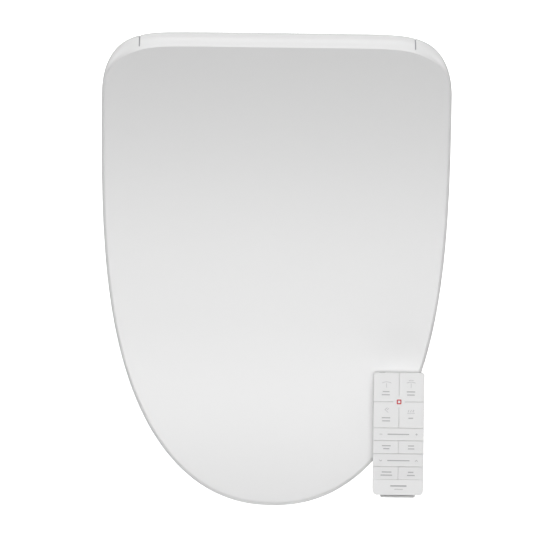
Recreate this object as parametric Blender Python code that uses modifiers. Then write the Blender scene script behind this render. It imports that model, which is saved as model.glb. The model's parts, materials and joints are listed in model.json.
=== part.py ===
"""Electric bidet seat with its wireless remote: separate shells, hinges, wands, drives and keys.

Lengths are in millimetres and become metres where a mesh is made. X runs to the right, Y to the
hinge end and Z up. The origin is under the middle of the lid, in the plane of the bowl's rim.
"""

import math

import bmesh
import bpy
from mathutils import Matrix, Vector

MM = 0.001
GAP = 0.3
PARTS = "electric_bidet_seat"
CUTTERS = "cutters"

# Lid, seen from above and from the side
LID_HALF = 190.0
LID_SHOULDER_Y = 189.5
LID_REAR_REACH, LID_REAR_POWER = 68.0, 9.0
LID_FRONT_REACH, LID_FRONT_POWER, LID_FRONT_ROOT = 447.0, 2.18, 3.05
LID_FRONT_Y = LID_SHOULDER_Y - LID_FRONT_REACH
LID_FRONT_Z, LID_SLOPE = 50.0, 0.035
LID_RISE, LID_RISE_FROM, LID_RISE_OVER = 29.6, -60.0, 300.0
LID_WALL = 3.0
LID_STATIONS = 36
EDGE_ROUND, BAND_WIDTH = 3.5, 17.0
EDGE_DROP, BAND_DROP = 3.5, 20.0
BAND_START_Y, BAND_SPREAD = 205.0, 50.0
BAND_TILT = math.radians(20)
SKIRT_FRONT, SKIRT_REAR, BAND_SKIRT = 14.0, 21.0, 2.0
SLIT_X, SLIT_WIDTH, SLIT_DEPTH = 149.5, 1.6, 17.4

# Hinges and the housing between them
LID_AXIS = (236.0, 74.0)
SEAT_AXIS = (104.0, 50.0)
BARREL_R = 14.0
WALL = 2.5
BLOCK_HALF, WING_HALF = 147.0, 176.0
BLOCK_FRONT, BLOCK_REAR = 122.0, 227.0
WING_FRONT, WING_REAR = 136.0, 204.0
BASE_FRONT, BASE_REAR = 94.0, 229.5
BASE_LOW, BASE_HIGH = 6.3, 30.0
DECK_HIGH = 33.0
COVER_DROP = 7.0
EAR_IN, EAR_OUT, EAR_R = 100.0, 138.0, 12.0

# Seat ring
SEAT_DROP = 7.0
SEAT_INSET = 8.0
SEAT_WALL = 2.6
SEAT_STATIONS = 28
SEAT_REAR_R = 14.3
SEAT_LOW = 10.0
SEAT_DISH = 5.0
SEAT_LIFT_FROM, SEAT_LIFT_OVER = 71.0, 20.0
OPENING_HALF, OPENING_FRONT, OPENING_REAR = 108.0, -190.0, 58.0
BRACKET_IN, BRACKET_OUT = 88.0, 144.5

# Water inlet on the left and mains cord on the right, through the base's rear wall
SERVICE_X, SERVICE_Z = 124.0, 19.0

# Buttons on the left wing
BUTTON_Y = {"power_button": 160.0, "wash_button": 180.0}
BUTTON_Z, BUTTON_R = 46.0, 5.0

# Wash wands
WAND_X, WAND_R = 9.0, 5.2
WAND_TILT = math.radians(21)
WAND_FOOT = (96.0, 14.6)
WAND_BACK, WAND_TIP = 132.0, 13.0
WAND_TRAVEL = 76.0
DRIVE_AT = 51.0
MODULE, PINION_TEETH = 1.0, 12
RACK_PITCH_X = 16.2

# Dryer
DUCT_X = (34.0, 54.0)
BLOWER_X = (32.0, 58.0)
BLOWER_AT, BLOWER_R = (175.0, 42.0), 21.0

# Remote on its dock, laid on the lid's front right
REMOTE_AT = (137.3, -176.7)
REMOTE_WIDTH, REMOTE_LENGTH = 55.2, 133.4
REMOTE_TOP_CORNER, REMOTE_LOW_CORNER = 2.0, 4.5
DOCK_WIDTH, DOCK_LENGTH, DOCK_CORNER, DOCK_OUT = 38.0, 104.0, 1.2, 3.2
REMOTE_LOW, REMOTE_SPLIT, REMOTE_HIGH = 3.9, 9.6, 13.2
KEY_GROOVE, KEY_CORNER, KEY_GAP = 0.7, 0.6, 0.8
FACE_PLATE = 0.8
KEY_ROWS = (31.5, 28.6, 13.8, 14.2, 14.2, 14.3)
STOP_R = 5.6

FINISHES = {
    "white_gloss": ((0.87, 0.88, 0.89), 0.22, 0.0),
    "white_satin": ((0.82, 0.83, 0.84), 0.45, 0.0),
    "grey_plastic": ((0.45, 0.46, 0.47), 0.5, 0.0),
    "dark_plastic": ((0.06, 0.06, 0.065), 0.45, 0.0),
    "rubber": ((0.32, 0.32, 0.33), 0.8, 0.0),
    "steel": ((0.66, 0.66, 0.65), 0.3, 1.0),
    "brass": ((0.72, 0.55, 0.28), 0.35, 1.0),
    "board": ((0.05, 0.25, 0.12), 0.5, 0.0),
    "foil": ((0.80, 0.52, 0.20), 0.4, 0.3),
    "amber": ((0.95, 0.75, 0.45), 0.2, 0.0),
}


# ---------------------------------------------------------------- helpers

def clear_scene():
    for thing in list(bpy.data.objects):
        bpy.data.objects.remove(thing, do_unlink=True)


def collection(name):
    found = bpy.data.collections.get(name)
    if found is None:
        found = bpy.data.collections.new(name)
        bpy.context.scene.collection.children.link(found)
    return found


def finish(thing, look):
    color, roughness, metallic = FINISHES[look]
    material = bpy.data.materials.new(thing.name + "_material")
    material.use_nodes = True
    shader = material.node_tree.nodes["Principled BSDF"]
    shader.inputs["Base Color"].default_value = (*color, 1.0)
    shader.inputs["Roughness"].default_value = roughness
    shader.inputs["Metallic"].default_value = metallic
    thing.data.materials.clear()
    thing.data.materials.append(material)


def object_from(name, bm, smooth=True):
    """A new object in the parts collection from a bmesh in millimetres, which is freed."""
    bmesh.ops.scale(bm, vec=Vector((MM, MM, MM)), verts=bm.verts)
    mesh = bpy.data.meshes.new(name)
    bm.to_mesh(mesh)
    bm.free()
    if smooth:
        mesh.shade_smooth()
        mesh.set_sharp_from_angle(angle=math.radians(35))
    thing = bpy.data.objects.new(name, mesh)
    collection(PARTS).objects.link(thing)
    return thing


def pivot(thing, point):
    """Moves the object's origin to a point in millimetres and leaves its mesh where it is."""
    offset = Vector(point) * MM
    thing.data.transform(Matrix.Translation(-offset))
    thing.location = offset


def box(name, low, high, bevel=0.0, segments=2):
    bm = bmesh.new()
    size = [b - a for a, b in zip(low, high)]
    middle = [(a + b) / 2 for a, b in zip(low, high)]
    bmesh.ops.create_cube(bm, size=1.0, matrix=Matrix.Translation(middle) @ Matrix.Diagonal((*size, 1)))
    thing = object_from(name, bm)
    if bevel:
        rounding = thing.modifiers.new("rounding", "BEVEL")
        rounding.width = bevel * MM
        rounding.segments = segments
    return thing


def rod(name, start, end, radius, sides=24, end_radius=None):
    start, end = Vector(start), Vector(end)
    turn = (end - start).to_track_quat("Z", "Y").to_matrix().to_4x4()
    bm = bmesh.new()
    bmesh.ops.create_cone(
        bm,
        cap_ends=True,
        segments=sides,
        radius1=radius,
        radius2=radius if end_radius is None else end_radius,
        depth=(end - start).length,
        matrix=Matrix.Translation((start + end) / 2) @ turn,
    )
    return object_from(name, bm)


def turned(name, profile, matrix, steps=16):
    """A solid of revolution. The profile is (radius, height) from the top end to the bottom end."""
    bm = bmesh.new()
    points = [bm.verts.new((radius, 0, height)) for radius, height in profile]
    for a, b in zip(points, points[1:]):
        bm.edges.new((a, b))
    thing = object_from(name, bm, smooth=False)
    screw = thing.modifiers.new("turn", "SCREW")
    screw.steps = screw.render_steps = steps
    screw.use_merge_vertices = True
    screw.merge_threshold = 0.00001
    screw.use_smooth_shade = False
    thing.matrix_world = Matrix.Translation(matrix.translation * MM) @ matrix.to_3x3().to_4x4()
    return thing


def slab(name, loops, low, high, frame=None):
    """A flat outline, with holes after the first loop, thickened from low to high along its normal."""
    curve = bpy.data.curves.new(name, "CURVE")
    curve.dimensions = "2D"
    curve.fill_mode = "BOTH"
    for loop in loops:
        spline = curve.splines.new("POLY")
        spline.points.add(len(loop) - 1)
        for point, (u, v) in zip(spline.points, loop):
            point.co = (u * MM, v * MM, 0, 1)
        spline.use_cyclic_u = True
    curve.extrude = (high - low) / 2 * MM
    flat = bpy.data.objects.new(name + "_outline", curve)
    collection(PARTS).objects.link(flat)
    bpy.context.view_layer.update()
    mesh = bpy.data.meshes.new_from_object(flat.evaluated_get(bpy.context.evaluated_depsgraph_get()))
    bpy.data.objects.remove(flat, do_unlink=True)
    frame = Matrix.Identity(4) if frame is None else frame
    place = Matrix.Translation(frame.translation * MM) @ frame.to_3x3().to_4x4()
    mesh.transform(place @ Matrix.Translation((0, 0, (low + high) / 2 * MM)))
    bm = bmesh.new()
    bm.from_mesh(mesh)
    bmesh.ops.remove_doubles(bm, verts=bm.verts, dist=0.000002)
    bmesh.ops.recalc_face_normals(bm, faces=bm.faces)
    bm.to_mesh(mesh)
    bm.free()
    mesh.shade_smooth()
    mesh.set_sharp_from_angle(angle=math.radians(35))
    thing = bpy.data.objects.new(name, mesh)
    collection(PARTS).objects.link(thing)
    return thing


def combine(target, tools, operation):
    """Joins the tools to the target, or cuts them from it, and moves them to the cutters."""
    for tool in tools:
        modifier = target.modifiers.new(tool.name, "BOOLEAN")
        modifier.operation = operation
        modifier.solver = "EXACT"
        modifier.object = tool
        collection(PARTS).objects.unlink(tool)
        collection(CUTTERS).objects.link(tool)
        tool.hide_render = True
        tool.display_type = "WIRE"


def cut(target, *tools):
    combine(target, tools, "DIFFERENCE")


def join(target, *tools):
    combine(target, tools, "UNION")


def thicken(thing, wall):
    shell = thing.modifiers.new("wall", "SOLIDIFY")
    shell.thickness = wall * MM
    shell.offset = -1
    shell.use_even_offset = True


def across():
    """The frame of an outline drawn in Y and Z, thickened along X."""
    return Matrix(((0, 0, 1, 0), (1, 0, 0, 0), (0, 1, 0, 0), (0, 0, 0, 1)))


def arc(centre, radius, start, end, steps):
    """Points on a circle, with the two angles in degrees."""
    angles = [math.radians(start + (end - start) * i / steps) for i in range(steps + 1)]
    return [(centre[0] + radius * math.cos(a), centre[1] + radius * math.sin(a)) for a in angles]


def rounded_rectangle(low, high, radius, steps=4):
    corners = (
        (high[0] - radius, high[1] - radius, 0),
        (low[0] + radius, high[1] - radius, 90),
        (low[0] + radius, low[1] + radius, 180),
        (high[0] - radius, low[1] + radius, 270),
    )
    return [p for x, y, start in corners for p in arc((x, y), radius, start, start + 90, steps)]


def remote_plan(inset=0.0, steps=4):
    """The remote's outline, with larger corners at its lower end."""
    half_w, half_l = REMOTE_WIDTH / 2 - inset, REMOTE_LENGTH / 2 - inset
    top, low = REMOTE_TOP_CORNER, REMOTE_LOW_CORNER
    return (
        arc((half_w - top, half_l - top), top, 0, 90, steps)
        + arc((-half_w + top, half_l - top), top, 90, 180, steps)
        + arc((-half_w + low, -half_l + low), low, 180, 270, steps)
        + arc((half_w - low, -half_l + low), low, 270, 360, steps)
    )


def smooth_step(value):
    value = min(1.0, max(0.0, value))
    return value * value * (3 - 2 * value)


def blend(a, b, share):
    return a + (b - a) * share


# ---------------------------------------------------------------- shared outlines

def lid_top(y):
    """Height of the lid's upper face, the same all along X."""
    rise = max(0.0, (y - LID_RISE_FROM) / LID_RISE_OVER)
    return LID_FRONT_Z + LID_SLOPE * (y - LID_FRONT_Y) + LID_RISE * rise * rise


def lid_half_outline(steps=400):
    """Right half of the lid in plan, from the middle of the rear round to the front."""
    points = []
    for i in range(steps):
        angle = math.pi / 2 * (i / steps) ** 5
        x = LID_HALF * math.sin(angle) ** (2 / LID_REAR_POWER)
        points.append((x, LID_SHOULDER_Y + LID_REAR_REACH * math.cos(angle)))
    for i in range(steps + 1):
        angle = math.pi / 2 * i / steps
        x = LID_HALF * max(0.0, math.cos(angle)) ** (2 / LID_FRONT_POWER)
        points.append((x, LID_SHOULDER_Y - LID_FRONT_REACH * math.sin(angle) ** (2 / LID_FRONT_ROOT)))
    return points


def resampled(points, count, turn_weight=40.0):
    """The same line with count equal steps, closer together where it bends."""
    travel = [0.0]
    for i in range(1, len(points)):
        step = Vector(points[i]) - Vector(points[i - 1])
        bend = 0.0
        if i > 1:
            before = Vector(points[i - 1]) - Vector(points[i - 2])
            if step.length > 1e-9 and before.length > 1e-9:
                bend = before.angle(step)
        travel.append(travel[-1] + step.length + turn_weight * bend)
    result, i = [], 0
    for k in range(count + 1):
        goal = travel[-1] * k / count
        while i < len(travel) - 2 and travel[i + 1] < goal:
            i += 1
        span = travel[i + 1] - travel[i]
        share = (goal - travel[i]) / span if span else 0.0
        result.append(tuple(Vector(points[i]).lerp(Vector(points[i + 1]), min(1.0, share))))
    return result


def mirrored_loop(half):
    """A closed loop from its right half, which starts and ends on the middle line."""
    half = [(0.0, half[0][1])] + list(half[1:-1]) + [(0.0, half[-1][1])]
    return half + [(-x, y) for x, y in reversed(half[1:-1])]


def outward(loop):
    """Unit normals of a clockwise closed loop, pointing away from its inside."""
    normals = []
    for i, _ in enumerate(loop):
        along = Vector(loop[(i + 1) % len(loop)]) - Vector(loop[i - 1])
        normals.append(Vector((-along.y, along.x)).normalized())
    return normals


def inset_loop(loop, distance):
    return [tuple(Vector(p) - n * distance) for p, n in zip(loop, outward(loop))]


def loft(rows, closed=True):
    """A surface through rows of points of equal count."""
    bm = bmesh.new()
    grid = [[bm.verts.new(point) for point in row] for row in rows]
    count = len(rows[0])
    for lower, upper in zip(grid, grid[1:]):
        for i in range(count if closed else count - 1):
            j = (i + 1) % count
            bm.faces.new((lower[i], lower[j], upper[j], upper[i]))
    return bm, grid


def upright(bm):
    """Turns the faces of an open surface so that its broad upper side faces up."""
    bmesh.ops.recalc_face_normals(bm, faces=bm.faces)
    bm.normal_update()
    if sum(face.normal.z * face.calc_area() for face in bm.faces) < 0:
        bmesh.ops.reverse_faces(bm, faces=bm.faces)


# ---------------------------------------------------------------- lid

def lid_rows(loop):
    """Rows of points from the skirt's rim over the rounded edge, or the rear band, to the crease."""
    normals = outward(loop)
    crease_y = LID_SHOULDER_Y + LID_REAR_REACH - BAND_WIDTH
    angles = [math.radians(a) for a in (90, 74, 58, 42, 30)] + [BAND_TILT]
    rows = [[] for _ in range(len(angles) + 1)]
    for (x, y), normal in zip(loop, normals):
        band = smooth_step((y - BAND_START_Y) / BAND_SPREAD)
        inset = blend(EDGE_ROUND, BAND_WIDTH, band)
        drop = blend(EDGE_DROP, BAND_DROP, band)
        crease = lid_top(min(y - normal.y * inset, crease_y))
        skirt = blend(SKIRT_FRONT, SKIRT_REAR, smooth_step((y - LID_FRONT_Y) / 400.0)) + BAND_SKIRT * band
        rows[0].append((x, y, lid_top(min(y, crease_y)) - skirt))
        for row, angle in zip(rows[1:], angles):
            reach = (math.sin(angle) - math.sin(BAND_TILT)) / (1 - math.sin(BAND_TILT))
            fall = (math.cos(BAND_TILT) - math.cos(angle)) / math.cos(BAND_TILT)
            inward = inset * (1 - reach)
            row.append((x - normal.x * inward, y - normal.y * inward, crease - drop * fall))
    return rows


def lid_shell():
    loop = mirrored_loop(resampled(lid_half_outline(), LID_STATIONS))
    bm, grid = loft(lid_rows(loop))
    top = grid[-1]
    count = len(top)
    straight = next(i for i in range(count) if top[0].co.y - top[i].co.y > 4.0)
    bm.faces.new([top[i] for i in range(-straight, straight + 1)])
    for i in range(straight, count // 2 - 1):
        bm.faces.new((top[i], top[i + 1], top[count - i - 1], top[count - i]))
    bm.faces.new((top[count // 2 - 1], top[count // 2], top[count // 2 + 1]))
    upright(bm)
    shell = object_from("lid_shell", bm)
    thicken(shell, LID_WALL)
    rear = LID_SHOULDER_Y + LID_REAR_REACH
    for side in (-1, 1):
        x = side * SLIT_X
        slit = box(
            f"slit_{side}",
            (x - SLIT_WIDTH / 2, rear - SLIT_DEPTH, LID_AXIS[1] - 20),
            (x + SLIT_WIDTH / 2, rear + 5, LID_AXIS[1] + 40),
        )
        cut(shell, slit)
    pivot(shell, (0, *LID_AXIS))
    finish(shell, "white_gloss")


def lid_arm(side, name):
    """Ear that carries the lid on the damper's shaft, bonded under the lid's rear edge."""
    under = LID_WALL + 0.9
    web = [(224.0, 74.0), (224.0, lid_top(224.0) - under), (231.0, lid_top(231.0) - under - 0.5),
           (236.5, 87.0), (239.0, 80.0)]
    inner, outer = sorted((side * 150.6, side * 158.0))
    arm = slab(name, [arc(LID_AXIS, 9.5, 0, 345, 23)], inner, outer, across())
    join(arm, slab(name + "_web", [web], inner, outer, across()))
    cut(arm, rod(name + "_bore", (side * 145, *LID_AXIS), (side * 163, *LID_AXIS), 4.9))
    pivot(arm, (0, *LID_AXIS))
    finish(arm, "white_satin")


def lid_damper(side, name):
    profile = [(0, 163), (4.1, 163), (4.5, 162.4), (4.5, 144), (9, 144), (9, 106), (7, 104), (0, 104)]
    turn = Matrix.Rotation(math.radians(90 * side), 4, "Y")
    damper = turned(name, profile, Matrix.Translation((0, *LID_AXIS)) @ turn)
    finish(damper, "dark_plastic")


# ---------------------------------------------------------------- housing

def cover_profile(inset):
    """Side view of the housing's middle block, drawn this far inside its outer skin."""
    front, rear = BLOCK_FRONT + inset, BLOCK_REAR - inset
    corner, low = 10.0, (DECK_HIGH - 1.5 if inset == 0 else BASE_HIGH - 6)
    top = [(y, lid_top(y) - COVER_DROP - inset) for y in (136, 150, 165, 180, 195, 208, 216)]
    radius = BARREL_R - inset
    reach = math.degrees(math.asin((rear - LID_AXIS[0]) / radius))
    nose = arc((front + corner, lid_top(front) - COVER_DROP - inset - corner), corner, 180, 100, 5)
    return [(front, low)] + nose + top + arc(LID_AXIS, radius, 135, -90 + reach, 20) + [(rear, low)]


def wing_profile(inset):
    front, rear = WING_FRONT + inset, WING_REAR - inset
    low = DECK_HIGH - 1.5 if inset == 0 else BASE_HIGH - 6
    steps = [front + 3, 150, 165, 180, 195, rear - 3]
    top = [(y, lid_top(y) - COVER_DROP - inset) for y in steps]
    return [(front, low), (front, top[0][1] - 4)] + top + [(rear, top[-1][1] - 4), (rear, low)]


def base_outline(inset=0.0):
    half, front, rear = WING_HALF - inset, BASE_FRONT + inset, BASE_REAR - inset
    rear_r, front_r = 30.0 - inset, 12.0 - inset
    return (
        arc((half - rear_r, rear - rear_r), rear_r, 0, 90, 6)
        + arc((-half + rear_r, rear - rear_r), rear_r, 90, 180, 6)
        + arc((-half + front_r, front + front_r), front_r, 180, 270, 4)
        + arc((half - front_r, front + front_r), front_r, 270, 360, 4)
    )


def housing_base():
    base = slab("housing_base", [base_outline()], BASE_LOW, BASE_HIGH)
    wall_cuts = [
        slab("base_hollow", [base_outline(WALL)], BASE_LOW + WALL, BASE_HIGH + 5),
        box("wand_window", (-19.5, BASE_FRONT - 5, 7.6), (19.5, BASE_FRONT + 10, 24.0)),
        box("dryer_window", (DUCT_X[0] + 0.5, BASE_FRONT - 5, 12), (DUCT_X[1] - 0.5, BASE_FRONT + 6, 24)),
        box("light_window", (-62.3, BASE_FRONT - 5, 14.7), (-43.7, BASE_FRONT + 6, 21.3)),
        rod("inlet_hole", (-SERVICE_X, 224, SERVICE_Z), (-SERVICE_X, 235, SERVICE_Z), 9.5),
        rod("cord_hole", (SERVICE_X, 224, SERVICE_Z), (SERVICE_X, 235, SERVICE_Z), 6.5),
        box("release_window", (170, 189.6, 13.6), (180, 204.4, 22.4)),
    ]
    cut(base, *wall_cuts)
    finish(base, "white_satin")


def housing_cover():
    cover = slab("housing_cover", [base_outline()], BASE_HIGH + GAP, DECK_HIGH)
    join(cover, slab("block", [cover_profile(0)], -BLOCK_HALF, BLOCK_HALF, across()))
    join(cover, slab("wings", [wing_profile(0)], -WING_HALF, WING_HALF, across()))
    for side in (-1, 1):
        inner, outer = sorted((side * EAR_IN, side * EAR_OUT))
        ear = slab(f"ear_{side}", [arc(SEAT_AXIS, EAR_R, 0, 345, 23)], inner, outer, across())
        neck = box(f"neck_{side}", (inner, SEAT_AXIS[0], 44), (outer, BLOCK_FRONT + 1.5, 56))
        join(cover, ear, neck)
    half, wing = BLOCK_HALF - WALL, WING_HALF - WALL
    cut(cover, slab("block_hollow", [cover_profile(WALL)], -half, half, across()))
    cut(cover, slab("wing_hollow", [wing_profile(WALL)], -wing, wing, across()))
    for side in (-1, 1):
        cut(
            cover,
            rod(f"lid_bore_{side}", (side * 140, *LID_AXIS), (side * 150, *LID_AXIS), 4.9),
            rod(f"seat_bore_{side}", (side * 95, *SEAT_AXIS), (side * 105, *SEAT_AXIS), 4.4),
            rod(f"seat_pocket_{side}", (side * 104, *SEAT_AXIS), (side * 142, *SEAT_AXIS), 8.5),
        )
    for side in (-1, 1):
        x = side * WAND_X
        cut(cover, rod(f"wand_path_{side}", wand_point(-8, x), wand_point(42, x), WAND_R + 0.8))
    for name, y in BUTTON_Y.items():
        cut(cover, rod(name + "_hole", (-170, y, BUTTON_Z), (-180, y, BUTTON_Z), BUTTON_R + GAP))
    cut(cover, box("filter_slot", (170, 149.6, 37.6), (180, 190.4, 56.4)))
    finish(cover, "white_gloss")


def mounting_plate():
    outline = rounded_rectangle((-100, 150), (100, 225), 10)
    slots = [rounded_rectangle((x - 4.5, 193), (x + 4.5, 221), 4.4) for x in (-70, 70)]
    plate = slab("mounting_plate", [outline] + slots, 0, BASE_LOW - GAP)
    finish(plate, "grey_plastic")


def seat_damper(side, name):
    profile = [(0, 144.2), (3.6, 144.2), (4, 143.7), (4, 137.5), (8, 137.5), (8, 104.5), (4, 104.5),
               (4, 89), (3.6, 88.5), (0, 88.5)]
    turn = Matrix.Rotation(math.radians(90 * side), 4, "Y")
    damper = turned(name, profile, Matrix.Translation((0, *SEAT_AXIS)) @ turn)
    finish(damper, "dark_plastic")


def side_controls():
    for name, y in BUTTON_Y.items():
        button = rod(name, (-178.2, y, BUTTON_Z), (-168, y, BUTTON_Z), BUTTON_R)
        button.modifiers.new("rounding", "BEVEL").width = 0.6 * MM
        pivot(button, (-178.2, y, BUTTON_Z))
        finish(button, "grey_plastic")
    release = box("release_button", (168, 190, 14), (178.5, 204, 22), 0.8)
    pivot(release, (178.5, 197, 18))
    finish(release, "grey_plastic")
    light = box("night_light", (-62, BASE_FRONT - 1.2, 15), (-44, BASE_FRONT + 4, 21), 0.6)
    finish(light, "amber")
    filter_box = box("filter_cartridge", (150, 150, 38), (WING_HALF + 1.0, 190, 56), 1.0)
    cut(filter_box, box("filter_grip", (WING_HALF - 3, 162, 44), (WING_HALF + 3, 178, 50)))
    for i in range(5):
        y = 154.5 + 7 * i
        cut(filter_box, box(f"filter_vent_{i}", (152, y, 30), (170, y + 3.5, 60)))
    pivot(filter_box, (WING_HALF, 170, 47))
    finish(filter_box, "dark_plastic")


# ---------------------------------------------------------------- washing and drying works

def wand_frame():
    """Origin at the wand's foot in the base's front wall, X back up the wand, Y across, Z square to it."""
    back = Vector((0, math.cos(WAND_TILT), math.sin(WAND_TILT)))
    up = Vector((0, -math.sin(WAND_TILT), math.cos(WAND_TILT)))
    across_wand = up.cross(back)
    frame = Matrix((back, across_wand, up)).transposed().to_4x4()
    frame.translation = (0, *WAND_FOOT)
    return frame


def wand_point(along, x, height=0.0):
    """A world point from the distance up the wand, world X and the height above its middle line."""
    back = Vector((0, math.cos(WAND_TILT), math.sin(WAND_TILT)))
    up = Vector((0, -math.sin(WAND_TILT), math.cos(WAND_TILT)))
    return Vector((x, *WAND_FOOT)) + back * along + up * height


def rack_outline(side):
    """Toothed strip along the wand's outer side, in the wand frame's X and Y."""
    pitch = math.pi * MODULE
    face, root = RACK_PITCH_X + 0.8 * MODULE, RACK_PITCH_X - 1.1 * MODULE
    flat, base = 0.10 * pitch, 0.27 * pitch
    teeth = []
    for i in range(int(WAND_TRAVEL / pitch) + 2):
        middle = DRIVE_AT + pitch * (i - 0.5)
        teeth += [(middle - base, root), (middle - flat, face), (middle + flat, face), (middle + base, root)]
    ends = [(teeth[-1][0] + 1, root), (teeth[-1][0] + 1, WAND_X + 2.5), (teeth[0][0] - 1, WAND_X + 2.5),
            (teeth[0][0] - 1, root)]
    return [(u, -side * v) for u, v in teeth + ends]


def wand(side, name):
    x = side * WAND_X
    body = rod(name, wand_point(WAND_BACK, x), wand_point(WAND_TIP + 6, x), WAND_R, 20)
    head = rod(name + "_head", wand_point(WAND_TIP + 7, x), wand_point(WAND_TIP, x), WAND_R, 20, 3.6)
    rack = slab(name + "_rack", [rack_outline(side)], -2.0, 2.0, wand_frame())
    join(body, head, rack)
    spray = rod(name + "_spray", wand_point(WAND_TIP + 12, x, 3), wand_point(WAND_TIP + 12, x, 8), 1.2, 10)
    cut(body, spray)
    pivot(body, wand_point(WAND_TIP, x))
    finish(body, "white_gloss")


def pinion(side, name):
    """Gear with short straight-sided teeth that stays in mesh with the wand's rack."""
    radius = MODULE * PINION_TEETH / 2
    outline = []
    for i in range(PINION_TEETH):
        middle = 360 / PINION_TEETH * i
        for spread, reach in ((-8.2, -1.1), (-3.0, 0.8), (3.0, 0.8), (8.2, -1.1)):
            angle = math.radians(middle + spread)
            outline.append(((radius + reach) * math.cos(angle), (radius + reach) * math.sin(angle)))
    frame = wand_frame()
    frame.translation = wand_point(DRIVE_AT, side * (RACK_PITCH_X + radius))
    quarter = Matrix.Rotation(math.radians(90 * side), 4, "Z")
    gear = slab(name, [outline], -2.5, 2.5, frame @ quarter)
    foot = side * (RACK_PITCH_X + radius)
    join(gear, rod(name + "_shaft", wand_point(DRIVE_AT, foot, 1), wand_point(DRIVE_AT, foot, 9.0), 1.5, 12))
    pivot(gear, frame.translation)
    finish(gear, "grey_plastic")


def drive_motor(side, name):
    foot = side * (RACK_PITCH_X + MODULE * PINION_TEETH / 2)
    motor = rod(name, wand_point(DRIVE_AT, foot, 9.9), wand_point(DRIVE_AT, foot, 26), 9.0)
    motor.modifiers.new("rounding", "BEVEL").width = 0.8 * MM
    finish(motor, "steel")


def wand_cradle():
    floor, front, rear = BASE_LOW + WALL + GAP, 127.0, 212.0
    slope = math.tan(WAND_TILT)

    def line(y, height):
        return WAND_FOOT[1] + (y - WAND_FOOT[0]) * slope + height / math.cos(WAND_TILT)

    wedge = [(front, floor), (rear, floor), (rear, line(rear, -2.6)), (front, line(front, -2.6))]
    cradle = slab("wand_cradle", [wedge], -12, 12, across())
    rib = [(front, floor + 3), (rear, floor + 3), (rear, line(rear, -1)), (150, line(150, 9.0)),
           (front, line(front, 9.0))]
    join(cradle, slab("cradle_rib", [rib], -2.6, 2.6, across()))
    frame = wand_frame()
    shelf = [(DRIVE_AT - 8, -33), (DRIVE_AT + 10, -33), (DRIVE_AT + 10, 33), (DRIVE_AT - 8, 33)]
    join(cradle, slab("motor_shelf", [shelf], 6.6, 9.4, frame))
    for side in (-1, 1):
        x = side * WAND_X
        cut(cradle, rod(f"channel_{side}", wand_point(20, x), wand_point(150, x), 5.7))
        foot = side * (RACK_PITCH_X + MODULE * PINION_TEETH / 2)
        low, high = wand_point(DRIVE_AT, foot, 5), wand_point(DRIVE_AT, foot, 11)
        cut(cradle, rod(f"shaft_hole_{side}", low, high, 2.0, 12))
    finish(cradle, "white_satin")


def water_works():
    heater = box("water_heater", (-138, 130, 9.2), (-62, 192, 48), 4.0, 3)
    join(heater, rod("heater_outlet", (-100, 132, 20), (-100, 126.5, 20), 4.0, 16))
    finish(heater, "grey_plastic")
    pump = rod("water_pump", (-46, 140, 20), (-46, 186, 20), 10.0)
    join(pump, rod("pump_motor", (-46, 185, 20), (-46, 212, 20), 8.5))
    finish(pump, "dark_plastic")
    valve = box("inlet_valve", (-136, 199, 9.2), (-112, 220, 27), 1.5)
    join(valve, rod("valve_coil", (-124, 209.5, 25), (-124, 209.5, 46), 8.5))
    finish(valve, "grey_plastic")
    profile = [(0, 247), (8.2, 247), (8.9, 246)]
    for i in range(4):
        high = 244.8 - 2.4 * i
        profile += [(8.9, high), (8.1, high - 0.6), (8.1, high - 1.5), (8.9, high - 2.1)]
    profile += [(12, 233.4), (12, 230), (9.1, 229.6), (9.1, 221), (0, 221)]
    spin = Matrix.Rotation(math.radians(-90), 4, "X")
    inlet = turned("water_inlet", profile, Matrix.Translation((-SERVICE_X, 0, SERVICE_Z)) @ spin)
    cut(inlet, rod("inlet_bore", (-SERVICE_X, 232, SERVICE_Z), (-SERVICE_X, 250, SERVICE_Z), 5.5))
    finish(inlet, "brass")
    ribs = [(0, 246), (4.6, 246)]
    for i in range(3):
        ribs += [(5.2 + 0.3 * i, 244 - 4 * i), (5.2 + 0.3 * i, 242 - 4 * i), (4.6 + 0.3 * i, 241.4 - 4 * i)]
    ribs += [(9, 232), (9, 230), (6.2, 229.8), (6.2, 224), (0, 224)]
    gland = turned("cord_gland", ribs, Matrix.Translation((SERVICE_X, 0, SERVICE_Z)) @ spin)
    finish(gland, "rubber")


def control_board():
    board = box("main_board", (68, 130, 12), (140, 200, 13.6))
    parts = [
        box("transformer", (74, 170, 13), (98, 194, 30)),
        box("relay", (104, 176, 13), (122, 190, 25)),
        box("heat_sink", (128, 140, 13), (134, 180, 30)),
        rod("capacitor", (88, 150, 13), (88, 150, 28), 6.0, 16),
        box("connector", (100, 134, 13), (120, 140, 20)),
    ]
    join(board, *parts)
    finish(board, "board")


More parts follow.
